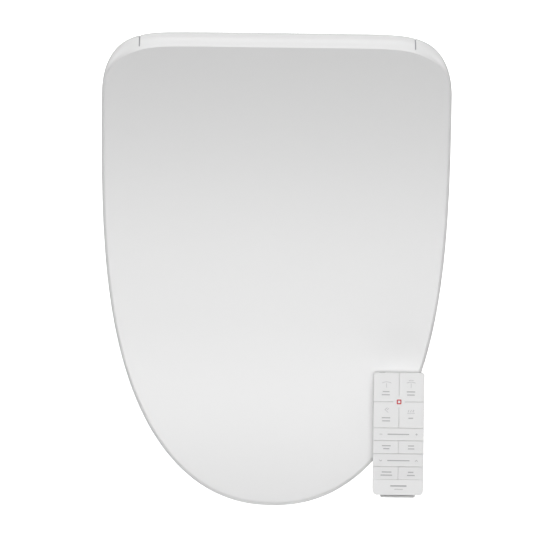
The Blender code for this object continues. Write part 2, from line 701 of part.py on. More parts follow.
def blower():
    low, high = BLOWER_X
    case = rod("blower_case", (low, *BLOWER_AT), (high, *BLOWER_AT), BLOWER_R, 32)
    hollow = rod("blower_hollow", (low + 2, *BLOWER_AT), (high - 2, *BLOWER_AT), BLOWER_R - 2, 32)
    inlet = rod("blower_eye", (high - 4, *BLOWER_AT), (high + 4, *BLOWER_AT), 10.0)
    outlet = box("blower_outlet", (low + 3, 148, 26), (high - 3, 160, 35))
    cut(case, hollow, inlet, outlet)
    finish(case, "grey_plastic")
    impeller = rod("blower_impeller", (low + 4, *BLOWER_AT), (low + 5.6, *BLOWER_AT), 17.0)
    blades = []
    for i in range(9):
        turn = Matrix.Rotation(2 * math.pi * i / 9, 4, "X")
        blade = box(f"blade_{i}", (low + 5, -0.7, 9), (high - 5, 0.7, 16.5))
        blade.matrix_world = Matrix.Translation(Vector((0, *BLOWER_AT)) * MM) @ turn
        blades.append(blade)
    hub = rod("hub", (low + 5, *BLOWER_AT), (high - 1, *BLOWER_AT), 3.0, 16)
    join(impeller, hub, *blades)
    pivot(impeller, ((low + high) / 2, *BLOWER_AT))
    finish(impeller, "dark_plastic")
    motor = rod("blower_motor", (high + GAP, *BLOWER_AT), (high + 8, *BLOWER_AT), 8.0)
    finish(motor, "steel")


def dryer():
    left, right = DUCT_X
    outer = [(97.0, 10.6), (148.0, 22.5), (152.6, 24.6), (152.6, 36.4), (124.0, 29.2), (97.0, 25.2)]
    inner = [(90.0, 11.0), (97.0, 12.2), (148.0, 24.2), (160.0, 27.0), (160.0, 35.6), (124.0, 27.6),
             (97.0, 23.6), (90.0, 22.5)]
    duct = slab("dryer_duct", [outer], left, right, across())
    cut(duct, slab("duct_hollow", [inner], left + 1.5, right - 1.5, across()))
    finish(duct, "white_satin")
    flap = box("dryer_flap", (left - 1, 91.4, 11.0), (right + 1, 93.0, 24.4), 0.5)
    join(flap, rod("flap_pin", (left - 3, 92.2, 25.2), (right + 3, 92.2, 25.2), 1.4, 12))
    pivot(flap, ((left + right) / 2, 92.2, 25.2))
    finish(flap, "white_satin")


# ---------------------------------------------------------------- seat

def seat_half_outline():
    """Right half of the seat in plan: the lid's outline set in, closed by a straight rear edge."""
    rear = SEAT_AXIS[0] + SEAT_REAR_R
    dense = resampled(lid_half_outline(), 300)
    inner = inset_loop(mirrored_loop(dense), SEAT_INSET)[: len(dense)]
    corner = 22.0
    side = [p for p in inner if p[1] < rear - corner]
    turn_x = side[0][0] - corner
    start = [(0.0, rear), (turn_x, rear)]
    bend = list(reversed(arc((turn_x, rear - corner), corner, 0, 90, 12)))
    return start + bend[1:] + side[:-1] + [(0.0, side[-1][1])]


def opening_half_outline(steps=200):
    """Right half of the seat's opening, an oval that is blunter at the rear."""
    middle_y = 8.0
    points = []
    for i in range(steps + 1):
        angle = math.pi * i / steps
        reach = OPENING_REAR - middle_y if angle < math.pi / 2 else middle_y - OPENING_FRONT
        power = 0.75 if angle < math.pi / 2 else 0.94
        x = OPENING_HALF * abs(math.sin(angle)) ** power
        y = middle_y + math.copysign(reach * abs(math.cos(angle)) ** power, math.cos(angle))
        points.append((x, y))
    return points


def seat_height(y, share=0.0):
    """Height of the seat's upper face. The share runs from 0 at the outer side to 1 at the opening."""
    return lid_top(min(y, SEAT_AXIS[0])) - SEAT_DROP - SEAT_DISH * share * share


def seat_top():
    loop = mirrored_loop(resampled(seat_half_outline(), SEAT_STATIONS))
    hole = mirrored_loop(resampled(opening_half_outline(), SEAT_STATIONS))
    normals = outward(loop)
    r = SEAT_REAR_R
    nose = [(r * (1 - math.sin(a)), SEAT_AXIS[1] - r * math.cos(a)) for a in
            [math.radians(t) for t in (0, 45, 90, 135, 180)]]
    rows = [[] for _ in range(12)]
    for (x, y), n, (hx, hy) in zip(loop, normals, hole):
        rear = smooth_step((y - SEAT_LIFT_FROM) / SEAT_LIFT_OVER)
        top = seat_height(y)
        flat = [(0.0, SEAT_LOW), (0.0, top - 12), (0.8, top - 6), (3.0, top - 2.4), (7.5, top - 0.3)]
        for row, (d0, z0), (d1, z1) in zip(rows, flat, nose):
            inward = blend(d0, d1, rear)
            row.append((x - n.x * inward, y - n.y * inward, blend(z0, z1, rear)))
        start = Vector(rows[4][-1][:2])
        end = Vector((hx, hy))
        for row, share in zip(rows[5:9], (0.25, 0.5, 0.75, 0.93)):
            point = start.lerp(end, share)
            row.append((point.x, point.y, seat_height(point.y, share)))
        edge = seat_height(hy, 1.0)
        for row, share, z in zip(rows[9:], (0.985, 1.0, 1.0), (edge - 0.8, edge - 5.0, SEAT_LOW)):
            point = start.lerp(end, share)
            row.append((point.x, point.y, z))
    bm, _ = loft(rows)
    upright(bm)
    seat = object_from("seat_top", bm)
    thicken(seat, SEAT_WALL)
    for side in (-1, 1):
        inner, outer = sorted((side * (EAR_IN - 1.5), side * (EAR_OUT + 1.5)))
        cut(seat, box(f"notch_{side}", (inner, 88.5, 28), (outer, 125, 75)))
    pivot(seat, (0, *SEAT_AXIS))
    finish(seat, "white_gloss")


def seat_base():
    half = resampled(seat_half_outline(), 60)
    limit = SEAT_LIFT_FROM - 2.5
    outer = inset_loop(mirrored_loop(half), SEAT_WALL + 1.3)
    outer = [(x, min(y, limit)) for x, y in outer]
    kept = [p for i, p in enumerate(outer) if not (p[1] == limit and outer[i - 1][1] == limit
                                                    and outer[(i + 1) % len(outer)][1] == limit)]
    hole = inset_loop(mirrored_loop(resampled(opening_half_outline(), 40)), -(SEAT_WALL + 0.7))
    plate = slab("seat_base", [kept, hole], SEAT_LOW + GAP, SEAT_LOW + 2.4)
    pivot(plate, (0, *SEAT_AXIS))
    finish(plate, "white_satin")


def seat_heater():
    """Warming foil under the seat's upper face, open at the rear."""
    half = resampled(seat_half_outline(), SEAT_STATIONS)
    loop = mirrored_loop(half)
    normals = outward(loop)
    hole = mirrored_loop(resampled(opening_half_outline(), SEAT_STATIONS))
    rows = [[] for _ in range(4)]
    under = SEAT_WALL + 0.9
    for (x, y), n, (hx, hy) in zip(loop, normals, hole):
        if y > 60 or hy > 30:
            continue
        start, end = Vector((x, y)) - n * 12.0, Vector((hx, hy))
        for row, share in zip(rows, (0.05, 0.35, 0.6, 0.8)):
            point = start.lerp(end, share)
            row.append((point.x, point.y, seat_height(point.y, share) - under))
    bm, _ = loft(rows, closed=False)
    upright(bm)
    foil = object_from("seat_heater", bm)
    thicken(foil, 0.6)
    pivot(foil, (0, *SEAT_AXIS))
    finish(foil, "foil")


def seat_bracket(side, name):
    """Clevis inside the seat's rear bar, which turns on the damper's shaft."""
    inner, outer = sorted((side * BRACKET_IN, side * BRACKET_OUT))
    outline = [(79, 39.4)] + arc(SEAT_AXIS, 10.6, -90, 90, 10) + [(90, 57.6), (79, 54.4)]
    bracket = slab(name, [outline], inner, outer, across())
    low, high = sorted((side * (EAR_IN - 1.5), side * (EAR_OUT + 1.5)))
    bore = rod(name + "_bore", (side * 80, *SEAT_AXIS), (side * 160, *SEAT_AXIS), 4.3)
    cut(bracket, box(name + "_gap", (low, 88.5, 30), (high, 120, 70)), bore)
    pivot(bracket, (0, *SEAT_AXIS))
    finish(bracket, "steel")


def seat_bumpers():
    for name, x, y in (
        ("seat_bumper_front_left", -84, -188),
        ("seat_bumper_front_right", 84, -188),
        ("seat_bumper_rear_left", -144, 10),
        ("seat_bumper_rear_right", 144, 10),
    ):
        foot = rod(name, (x, y, 0), (x, y, SEAT_LOW), 8.0, 20)
        foot.modifiers.new("rounding", "BEVEL").width = 1.2 * MM
        pivot(foot, (x, y, 0))
        finish(foot, "rubber")


# ---------------------------------------------------------------- remote

def remote_origin():
    """Empty on the lid's face that carries the dock and the remote at the lid's slope."""
    x, y = REMOTE_AT
    empty = bpy.data.objects.new("remote_place", None)
    collection(PARTS).objects.link(empty)
    empty.location = Vector((x, y, lid_top(y))) * MM
    empty.rotation_euler = (math.atan(LID_SLOPE), 0, 0)
    return empty


def remote_body(place):
    """Dock, back shell, face, board, coin cell and its tray, in the remote's own frame."""
    half_w, half_l = REMOTE_WIDTH / 2, REMOTE_LENGTH / 2
    plan, hollow = remote_plan(), remote_plan(1.6)
    dock_low, half_dock = -half_l - DOCK_OUT, DOCK_WIDTH / 2
    dock_plan = rounded_rectangle((-half_dock, dock_low), (half_dock, dock_low + DOCK_LENGTH), DOCK_CORNER)
    dock = slab("remote_dock", [dock_plan], GAP, REMOTE_LOW - GAP)
    lip_high = dock_low + 2.1
    half_lip = half_dock - DOCK_CORNER
    join(dock, box("dock_lip", (-half_lip, dock_low, 1.0), (half_lip, lip_high, 8.0)))
    finish(dock, "grey_plastic")

    back = slab("remote_back", [plan], REMOTE_LOW, REMOTE_SPLIT - GAP)
    tray_cut = box("tray_slot", (-12.4, 36, 5.2), (12.4, half_l + 3, 8.8))
    cut(back, slab("back_hollow", [hollow], REMOTE_LOW + 1.2, REMOTE_SPLIT + 3), tray_cut)
    finish(back, "white_satin")

    face = slab("remote_face", [plan], REMOTE_SPLIT, REMOTE_HIGH)
    well_low = (-half_w - 5, half_l - sum(KEY_ROWS), REMOTE_SPLIT + FACE_PLATE)
    cut(face, box("key_well", well_low, (half_w + 5, half_l + 5, REMOTE_HIGH + 3)))
    finish(face, "white_gloss")

    board = box("remote_board", (-24, -60, 7.4), (24, 34, 8.6))
    join(board, box("remote_chip", (-6, -20, 6.2), (6, -8, 7.6)))
    finish(board, "board")
    tray = box("battery_tray", (-12, 38, 5.4), (12, half_l + 0.2, 8.6))
    cut(tray, rod("cell_pocket", (0, 51, 6.2), (0, 51, 12), 10.4, 32))
    finish(tray, "white_satin")
    cell = rod("coin_cell", (0, 51, 6.5), (0, 51, 8.5), 10.0, 32)
    finish(cell, "steel")
    pieces = (dock, back, face, board, tray, cell)
    for piece in pieces:
        piece.parent = place
    for thing in collection(CUTTERS).objects:
        if thing.name in ("dock_lip", "tray_slot", "back_hollow", "key_well", "remote_chip", "cell_pocket"):
            thing.parent = place


def key_cells():
    """Name, low corner and high corner of each key, from the top row down."""
    names = (
        ("rear_wash_key", "turbo_wash_key"),
        ("front_wash_key", "dryer_key"),
        ("pressure_rocker",),
        ("water_heat_key", "seat_heat_key"),
        ("position_rocker",),
        ("wand_clean_key", "eco_key"),
    )
    top = REMOTE_LENGTH / 2
    cells = []
    for row, height in zip(names, KEY_ROWS):
        bottom = top - height
        edges = [-REMOTE_WIDTH / 2, REMOTE_WIDTH / 2]
        if len(row) == 2:
            edges.insert(1, 0.0)
        for name, left, right in zip(row, edges, edges[1:]):
            outer_left, outer_right, outer_top = left == edges[0], right == edges[-1], row is names[0]
            low = (left + (0 if outer_left else KEY_GROOVE / 2), bottom + KEY_GROOVE / 2)
            high = (right - (0 if outer_right else KEY_GROOVE / 2), top - (0 if outer_top else KEY_GROOVE / 2))
            cells.append((name, low, high, outer_top))
        top = bottom
    return cells


def remote_keys(place):
    low, high = REMOTE_SPLIT + FACE_PLATE + KEY_GAP, REMOTE_HIGH + 0.1
    stop_y = REMOTE_LENGTH / 2 - KEY_ROWS[0]
    for name, corner, far, at_top in key_cells():
        radius = REMOTE_TOP_CORNER if at_top else KEY_CORNER
        key = slab(name, [rounded_rectangle(corner, far, radius, 3)], low, high)
        if min(abs(corner[1] - stop_y), abs(far[1] - stop_y)) < 1 and name.endswith("key"):
            ring = rod(name + "_ring", (0, stop_y, low - 3), (0, stop_y, high + 3), STOP_R + 0.7, 32)
            cut(key, ring)
            ring.parent = place
        middle = ((corner[0] + far[0]) / 2, (corner[1] + far[1]) / 2, low)
        pivot(key, middle)
        finish(key, "white_gloss")
        key.parent = place
    stop = rod("stop_key", (0, stop_y, low), (0, stop_y, high), STOP_R, 28)
    pivot(stop, (0, stop_y, low))
    finish(stop, "white_gloss")
    stop.parent = place


def main():
    clear_scene()
    lid_shell()
    for side, word in ((-1, "left"), (1, "right")):
        lid_arm(side, "lid_arm_" + word)
        lid_damper(side, "lid_damper_" + word)
        seat_damper(side, "seat_damper_" + word)
        seat_bracket(side, "seat_bracket_" + word)
    for side, word in ((-1, "rear"), (1, "front")):
        wand(side, word + "_wash_wand")
        pinion(side, word + "_wand_pinion")
        drive_motor(side, word + "_wand_motor")
    housing_base()
    housing_cover()
    mounting_plate()
    side_controls()
    wand_cradle()
    water_works()
    control_board()
    blower()
    dryer()
    seat_top()
    seat_base()
    seat_heater()
    seat_bumpers()
    place = remote_origin()
    remote_body(place)
    remote_keys(place)


main()
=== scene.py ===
"""Looks of the electric bidet seat: fine shells, moulded plastics, key prints, light and camera.

Lengths are in millimetres and become metres where a mesh is made. Lights and the camera are placed in metres.
"""

import json
import math

import bmesh
import bpy
from mathutils import Matrix, Vector


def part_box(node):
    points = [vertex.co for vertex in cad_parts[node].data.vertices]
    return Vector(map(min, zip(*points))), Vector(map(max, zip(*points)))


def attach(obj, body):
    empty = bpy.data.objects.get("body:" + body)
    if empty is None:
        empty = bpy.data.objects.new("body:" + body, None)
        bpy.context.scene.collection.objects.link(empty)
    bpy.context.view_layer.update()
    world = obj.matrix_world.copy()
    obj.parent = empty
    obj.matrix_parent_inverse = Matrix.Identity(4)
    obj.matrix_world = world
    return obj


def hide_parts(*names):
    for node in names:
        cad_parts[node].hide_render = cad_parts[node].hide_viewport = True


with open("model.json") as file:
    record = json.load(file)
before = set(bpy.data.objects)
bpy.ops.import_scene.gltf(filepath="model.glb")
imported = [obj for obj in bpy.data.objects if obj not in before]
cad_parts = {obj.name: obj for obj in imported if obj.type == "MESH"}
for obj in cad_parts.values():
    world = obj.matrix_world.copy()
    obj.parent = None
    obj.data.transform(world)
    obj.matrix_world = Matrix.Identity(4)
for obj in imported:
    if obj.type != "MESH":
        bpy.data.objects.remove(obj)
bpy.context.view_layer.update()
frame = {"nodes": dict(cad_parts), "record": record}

MM = 0.001
SIDES = ((-1, "left"), (1, "right"))

# The lid's outline and heights, the same rule as the frame's lid_shell node
LID_HALF = 190.0
LID_SHOULDER_Y = 189.5
LID_REAR_REACH, LID_REAR_POWER = 68.0, 9.0
LID_FRONT_REACH, LID_FRONT_POWER, LID_FRONT_ROOT = 447.0, 2.18, 3.05
LID_FRONT_Y = LID_SHOULDER_Y - LID_FRONT_REACH
LID_REAR_Y = LID_SHOULDER_Y + LID_REAR_REACH
LID_FRONT_Z, LID_SLOPE = 50.0, 0.035
LID_RISE, LID_RISE_FROM, LID_RISE_OVER = 29.6, -60.0, 300.0
LID_WALL = 3.0
LID_SKIN = LID_WALL - 0.1
EDGE_ROUND, BAND_WIDTH = 3.5, 17.0
EDGE_DROP, BAND_DROP = 3.5, 20.0
BAND_START_Y, BAND_SPREAD = 205.0, 50.0
BAND_DEGREES = 20
BAND_TILT = math.radians(BAND_DEGREES)
SKIRT_FRONT, SKIRT_REAR, SKIRT_OVER, BAND_SKIRT = 14.0, 21.0, 400.0, 2.0
LID_AXIS = (236.0, 74.0)

# How finely the lid is drawn, and the rows (inset, depth below the top) that soften its crease
LID_STATIONS, LID_ACROSS, EDGE_STEPS = 120, 14, 14
RIM_STEP = 1.2
CREASE_ROWS = ((0.25, 0.04), (0.6, 0.01), (1.4, 0.0))

# The slits in the rear band, and the grey strips set in them as painted shade of the slits' depth
SLIT_X, SLIT_WIDTH, SLIT_DEPTH = 149.5, 1.3, 17.4
SLIT_LOW, SLIT_HIGH, SLIT_PAST = 54.0, 114.0, 5.0
SLIT_SHADE_WIDTH, SLIT_SHADE_SUNK = 1.8, 0.95

# Soft pads under the lid
PAD_PLACES = ((150.0, 20.0, "rear"), (78.0, -196.0, "front"))
PAD_TIP_R, PAD_ROOT_R, PAD_DEPTH, PAD_STRETCH = 5.2, 6.0, 3.2, 1.7
PAD_GAP, PAD_MIDDLE = 0.15, 1.7

# The seat ring, the same rule as the frame's seat_top node
SEAT_AXIS, SEAT_REAR_R, SEAT_INSET, SEAT_DROP = (104.0, 50.0), 14.3, 8.0, 7.0
SEAT_WALL, SEAT_LOW, SEAT_DISH = 2.6, 10.0, 5.0
SEAT_LIFT_FROM, SEAT_LIFT_OVER = 71.0, 20.0
SEAT_STATIONS, SEAT_CORNER, SEAT_LIP = 84, 22.0, 6.0
SEAT_ROUND, SEAT_ROUND_DROP, SEAT_ROUND_STEPS = 7.5, 12.0, 8
OPENING_HALF, OPENING_FRONT, OPENING_REAR, OPENING_MIDDLE = 108.0, -190.0, 58.0, 8.0
OPENING_FRONT_POWER, OPENING_REAR_POWER = 0.94, 0.75
NOTCH_IN, NOTCH_OUT = 98.5, 139.5
NOTCH_Y, NOTCH_Z = (88.5, 125.0), (28.0, 75.0)

# The remote and the rows of keys on it, from its top end down
REMOTE_SIZE = (55.2, 133.4)
REMOTE_AT = (137.3, -176.7)
REMOTE_TOP = 13.3
KEY_ROWS = (31.5, 28.6, 13.8, 14.2, 14.2, 14.3)
PRINT_SUNK, PRINT_RAISED = 0.03, 0.05
WEB_WIDTH, WEB_DEEP, WEB_SUNK, WEB_SHORT = 0.46, 2.6, 0.22, 0.3
STOP_RING, STOP_RING_WIDTH, STOP_RING_SUNK, STOP_CLEAR = 5.95, 0.9, 0.07, 6.5

# Fixings under the housing and the seat, and the marks on the two side buttons
BASE_SCREWS = ((-160, 108), (160, 108), (-150, 205), (150, 205), (0, 112))
BASE_SCREW_Z, BASE_SCREW_R = 6.35, 3.1
SEAT_SCREWS = ((134, -40), (112, -130), (40, -213), (148, 45))
SEAT_SCREW_Z, SEAT_SCREW_R = 10.35, 2.7
BOLT_X, BOLT_Y = 70.0, 207.0
SIDE_PRINT_Z, SIDE_PRINT_WIDTH = 46.0, 0.45

# Small edge radii of the carried-over pieces, by node
ROUNDINGS = {
    "housing_base": 1.6, "housing_cover": 1.2, "mounting_plate": 0.8, "remote_back": 1.0, "remote_face": 0.3,
    "remote_dock": 0.3, "power_button": 0.0, "wash_button": 0.0, "release_button": 0.3, "stop_key": 0.12,
    "night_light": 0.2, "filter_cartridge": 0.2,
}
KEY_ROUNDING, PLAIN_ROUNDING = 0.12, 0.35

# Studio, in metres
LID_MIDDLE_Z = 0.06
FLOOR_Z = -0.001
STAGE_REACH, BACKDROP_REACH = 20.0, 19.9
FLOOR_GLOW, BACKDROP_GLOW = 1.0, 0.9
WORLD_LOW, WORLD_HIGH = 0.50, 0.03
CAMERA_AT, CAMERA_TURN, CAMERA_LENS = (-0.0089, 0.0036, 4.56), 0.0125, 278.7


# ---------------------------------------------------------------- materials

def shade(name, color, roughness, metallic=0.0, coat=0.0, ior=1.46, sheen=0.0, tone=0.03,
          patch=14.0, grain=900.0, grain_depth=0.00002, rough_vary=0.12, extra=None):
    """Moulded or machined surface: slow changes of tone and gloss with a fine grain in the bump."""
    material = bpy.data.materials.new(name)
    material.use_nodes = True
    nodes, links = material.node_tree.nodes, material.node_tree.links
    shader = nodes["Principled BSDF"]
    shader.inputs["Metallic"].default_value = metallic
    shader.inputs["IOR"].default_value = ior
    shader.inputs["Coat Weight"].default_value = coat
    shader.inputs["Coat Roughness"].default_value = 0.22
    shader.inputs["Sheen Weight"].default_value = sheen
    place = nodes.new("ShaderNodeTexCoord").outputs["Object"]

    slow = nodes.new("ShaderNodeTexNoise")
    slow.inputs["Scale"].default_value = patch
    slow.inputs["Detail"].default_value = 3.0
    links.new(place, slow.inputs["Vector"])
    ramp = nodes.new("ShaderNodeValToRGB")
    ramp.color_ramp.elements[0].position = 0.3
    ramp.color_ramp.elements[1].position = 0.7
    ramp.color_ramp.elements[0].color = (*[c * (1 - tone) for c in color], 1)
    ramp.color_ramp.elements[1].color = (*[min(1.0, c * (1 + tone)) for c in color], 1)
    links.new(slow.outputs["Fac"], ramp.inputs["Fac"])
    links.new(ramp.outputs["Color"], shader.inputs["Base Color"])

    fine = nodes.new("ShaderNodeTexNoise")
    fine.inputs["Scale"].default_value = grain
    fine.inputs["Detail"].default_value = 2.0
    links.new(place, fine.inputs["Vector"])
    gloss = nodes.new("ShaderNodeMapRange")
    gloss.inputs["To Min"].default_value = roughness * (1 - rough_vary)
    gloss.inputs["To Max"].default_value = roughness * (1 + rough_vary)
    links.new(slow.outputs["Fac"], gloss.inputs["Value"])
    links.new(gloss.outputs["Result"], shader.inputs["Roughness"])

    bump = nodes.new("ShaderNodeBump")
    bump.inputs["Strength"].default_value = 0.5
    bump.inputs["Distance"].default_value = grain_depth
    links.new(fine.outputs["Fac"], bump.inputs["Height"])
    links.new(bump.outputs["Normal"], shader.inputs["Normal"])
    if extra:
        extra(nodes, links, shader, place, bump)
    return material


def turned_lines(nodes, links, shader, place, bump):
    """Fine tool marks round a machined or pressed metal piece."""
    wave = nodes.new("ShaderNodeTexWave")
    wave.inputs["Scale"].default_value = 420.0
    wave.inputs["Distortion"].default_value = 1.5
    links.new(place, wave.inputs["Vector"])
    marks = nodes.new("ShaderNodeBump")
    marks.inputs["Strength"].default_value = 0.25
    marks.inputs["Distance"].default_value = 0.00002
    links.new(wave.outputs["Fac"], marks.inputs["Height"])
    links.new(bump.outputs["Normal"], marks.inputs["Normal"])
    links.new(marks.outputs["Normal"], shader.inputs["Normal"])


def copper_tracks(nodes, links, shader, place, bump):
    """Lighter green tracks under the solder mask of a circuit board."""
    cells = nodes.new("ShaderNodeTexBrick")
    cells.inputs["Scale"].default_value = 90.0
    cells.inputs["Mortar Size"].default_value = 0.03
    cells.inputs["Color1"].default_value = (0.02, 0.14, 0.06, 1)
    cells.inputs["Color2"].default_value = (0.03, 0.20, 0.09, 1)
    cells.inputs["Mortar"].default_value = (0.10, 0.32, 0.14, 1)
    links.new(place, cells.inputs["Vector"])
    links.new(cells.outputs["Color"], shader.inputs["Base Color"])


def heating_tracks(nodes, links, shader, place, bump):
    """Printed heating tracks on the foil."""
    wave = nodes.new("ShaderNodeTexWave")
    wave.wave_type = "RINGS"
    wave.rings_direction = "Z"
    wave.inputs["Scale"].default_value = 60.0
    links.new(place, wave.inputs["Vector"])
    tracks = nodes.new("ShaderNodeValToRGB")
    tracks.color_ramp.elements[0].position = 0.45
    tracks.color_ramp.elements[1].position = 0.55
    tracks.color_ramp.elements[0].color = (0.55, 0.50, 0.42, 1)
    tracks.color_ramp.elements[1].color = (0.80, 0.45, 0.15, 1)
    links.new(wave.outputs["Fac"], tracks.inputs["Fac"])
    links.new(tracks.outputs["Color"], shader.inputs["Base Color"])


def lid_white():
    """The lid's moulding, with the broadest patches of tone and gloss."""
    return shade("lid_white", (0.80, 0.80, 0.80), 0.27, coat=0.4, ior=1.55, tone=0.002, patch=4,
                 rough_vary=0.02, grain_depth=0.00001)


def white_gloss():
    """Glossy white plastic of the seat's shell, the housing's cover, the wands and the remote's face."""
    return shade("white_gloss", (0.80, 0.80, 0.80), 0.27, coat=0.4, ior=1.55, tone=0.002, patch=6,
                 rough_vary=0.03, grain_depth=0.00001)


def white_satin():
    return shade("white_satin", (0.76, 0.76, 0.755), 0.45, tone=0.004, rough_vary=0.05, grain=1600,
                 grain_depth=0.00004)


def key_white():
    return shade("key_white", (0.765, 0.765, 0.765), 0.30, coat=0.35, ior=1.5, tone=0.002, patch=30,
                 rough_vary=0.03, grain=2200, grain_depth=0.00001)


def grey_plastic():
    return shade("grey_plastic", (0.33, 0.33, 0.34), 0.50, grain=1500, grain_depth=0.00004)


def dark_plastic():
    return shade("dark_plastic", (0.035, 0.035, 0.04), 0.45, grain=1500, grain_depth=0.00004)


def rubber():
    return shade("rubber", (0.22, 0.22, 0.23), 0.85, sheen=0.15, tone=0.08, grain=1200,
                 grain_depth=0.00008)


def steel():
    return shade("steel", (0.62, 0.62, 0.60), 0.32, metallic=1.0, tone=0.05, extra=turned_lines)


def brass():
    return shade("brass", (0.70, 0.50, 0.23), 0.30, metallic=1.0, tone=0.06, extra=turned_lines)


def board():
    """Green circuit board."""
    return shade("board", (0.03, 0.20, 0.09), 0.40, coat=0.3, extra=copper_tracks)


def foil():
    """Heating foil."""
    return shade("foil", (0.80, 0.45, 0.15), 0.38, metallic=0.4, extra=heating_tracks)


def amber():
    """Lens of the night light."""
    return shade("amber", (0.95, 0.72, 0.38), 0.25, coat=0.4, tone=0.02)


def smoke():
    """Dark lens at the remote's top end."""
    return shade("smoke", (0.02, 0.02, 0.025), 0.12, coat=0.5, tone=0.1)


def print_grey():
    return shade("print_grey", (0.45, 0.45, 0.46), 0.55, tone=0.05, grain=3000)


def print_red():
    return shade("print_red", (0.62, 0.035, 0.045), 0.45, tone=0.05, grain=3000)


MAKERS = (lid_white, white_gloss, white_satin, key_white, grey_plastic, dark_plastic, rubber, steel, brass,
          board, foil, amber, smoke, print_grey, print_red)
LOOKS = {maker.__name__: maker() for maker in MAKERS}


def paint(thing, look):
    thing.data.materials.clear()
    thing.data.materials.append(LOOKS[look])


# ---------------------------------------------------------------- mesh helpers

def smooth_step(value):
    value = min(1.0, max(0.0, value))
    return value * value * (3 - 2 * value)


def blend(a, b, share):
    return a + (b - a) * share


def shade_smooth_to(mesh, degrees):
    """Smooth shading that keeps edges sharper than this angle."""
    mesh.shade_smooth()
    mesh.set_sharp_from_angle(angle=math.radians(degrees))


def new_piece(name, bm, look, body, sharp=40):
    """A piece from a bmesh in millimetres, painted and riding on its body."""
    bmesh.ops.scale(bm, vec=Vector((MM, MM, MM)), verts=bm.verts)
    mesh = bpy.data.meshes.new(name)
    bm.to_mesh(mesh)
    bm.free()
    shade_smooth_to(mesh, sharp)
    thing = bpy.data.objects.new(name, mesh)
    bpy.context.scene.collection.objects.link(thing)
    paint(thing, look)
    if body:
        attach(thing, body)
    return thing


def apply_modifiers(thing):
    """Bakes the piece's modifiers into its mesh."""
    bpy.context.view_layer.update()
    graph = bpy.context.evaluated_depsgraph_get()
    mesh = bpy.data.meshes.new_from_object(thing.evaluated_get(graph))
    thing.modifiers.clear()
    thing.data = mesh


def add_wall(thing, thickness):
    """Gives an outer skin its wall, inwards."""
    wall = thing.modifiers.new("wall", "SOLIDIFY")
    wall.thickness = thickness * MM
    wall.offset = -1
    wall.use_even_offset = True


def round_edges(thing, width, segments=3, weld=True):
    """Rounds every edge sharper than 35 degrees."""
    if weld:
        join = thing.modifiers.new("weld", "WELD")
        join.merge_threshold = 0.000005
    rounding = thing.modifiers.new("rounding", "BEVEL")
    rounding.width = width * MM
    rounding.segments = segments
    rounding.limit_method = "ANGLE"
    rounding.angle_limit = math.radians(35)
    rounding.use_clamp_overlap = True
    rounding.harden_normals = False
    smooth = thing.modifiers.new("normals", "WEIGHTED_NORMAL")
    smooth.keep_sharp = False


def tool_box(name, low, high):
    """A box to cut with, between two corners in millimetres."""
    bm = bmesh.new()
    size = [b - a for a, b in zip(low, high)]
    middle = [(a + b) / 2 for a, b in zip(low, high)]
    bmesh.ops.create_cube(bm, size=1.0, matrix=Matrix.Translation(middle) @ Matrix.Diagonal((*size, 1)))
    bmesh.ops.scale(bm, vec=Vector((MM, MM, MM)), verts=bm.verts)
    mesh = bpy.data.meshes.new(name)
    bm.to_mesh(mesh)
    bm.free()
    tool = bpy.data.objects.new(name, mesh)
    bpy.context.scene.collection.objects.link(tool)
    return tool


def cut_with(thing, tools):
    """Cuts the tools from the piece at once and removes them."""
    for tool in tools:
        modifier = thing.modifiers.new(tool.name, "BOOLEAN")
        modifier.operation = "DIFFERENCE"
        modifier.solver = "EXACT"
        modifier.object = tool
    apply_modifiers(thing)
    for tool in tools:
        bpy.data.objects.remove(tool, do_unlink=True)


# ---------------------------------------------------------------- outlines

def lid_top(y):
    """Height of the lid's top at this Y."""
    rise = max(0.0, (y - LID_RISE_FROM) / LID_RISE_OVER)
    return LID_FRONT_Z + LID_SLOPE * (y - LID_FRONT_Y) + LID_RISE * rise * rise


def lid_half_outline(steps=900):
    """Right half of the lid in plan, from the rear's middle round to the front tip."""
    points = []
    for i in range(steps):
        angle = math.pi / 2 * (i / steps) ** 5
        x = LID_HALF * math.sin(angle) ** (2 / LID_REAR_POWER)
        points.append((x, LID_SHOULDER_Y + LID_REAR_REACH * math.cos(angle)))
    for i in range(steps + 1):
        angle = math.pi / 2 * i / steps
        x = LID_HALF * max(0.0, math.cos(angle)) ** (2 / LID_FRONT_POWER)
        points.append((x, LID_SHOULDER_Y - LID_FRONT_REACH * math.sin(angle) ** (2 / LID_FRONT_ROOT)))
    return points


def resampled(points, count, turn_weight=40.0):
    """The same line in count steps, closer together where it bends."""
    travel = [0.0]
    for i in range(1, len(points)):
        step = Vector(points[i]) - Vector(points[i - 1])
        bend = 0.0
        if i > 1:
            before = Vector(points[i - 1]) - Vector(points[i - 2])
            if step.length > 1e-9 and before.length > 1e-9:
                bend = before.angle(step)
        travel.append(travel[-1] + step.length + turn_weight * bend)
    result, i = [], 0
    for k in range(count + 1):
        goal = travel[-1] * k / count
        while i < len(travel) - 2 and travel[i + 1] < goal:
            i += 1
        span = travel[i + 1] - travel[i]
        share = (goal - travel[i]) / span if span else 0.0
        result.append(tuple(Vector(points[i]).lerp(Vector(points[i + 1]), min(1.0, share))))
    return result


def mirrored_loop(half):
    """A whole loop from its right half."""
    half = [(0.0, half[0][1])] + list(half[1:-1]) + [(0.0, half[-1][1])]
    return half + [(-x, y) for x, y in reversed(half[1:-1])]


def outward(loop):
    """Normals that point out of a loop drawn clockwise."""
    normals = []
    for i, _ in enumerate(loop):
        along = Vector(loop[(i + 1) % len(loop)]) - Vector(loop[i - 1])
        normals.append(Vector((-along.y, along.x)).normalized())
    return normals


def inset_loop(loop, distance):
    return [tuple(Vector(p) - n * distance) for p, n in zip(loop, outward(loop))]


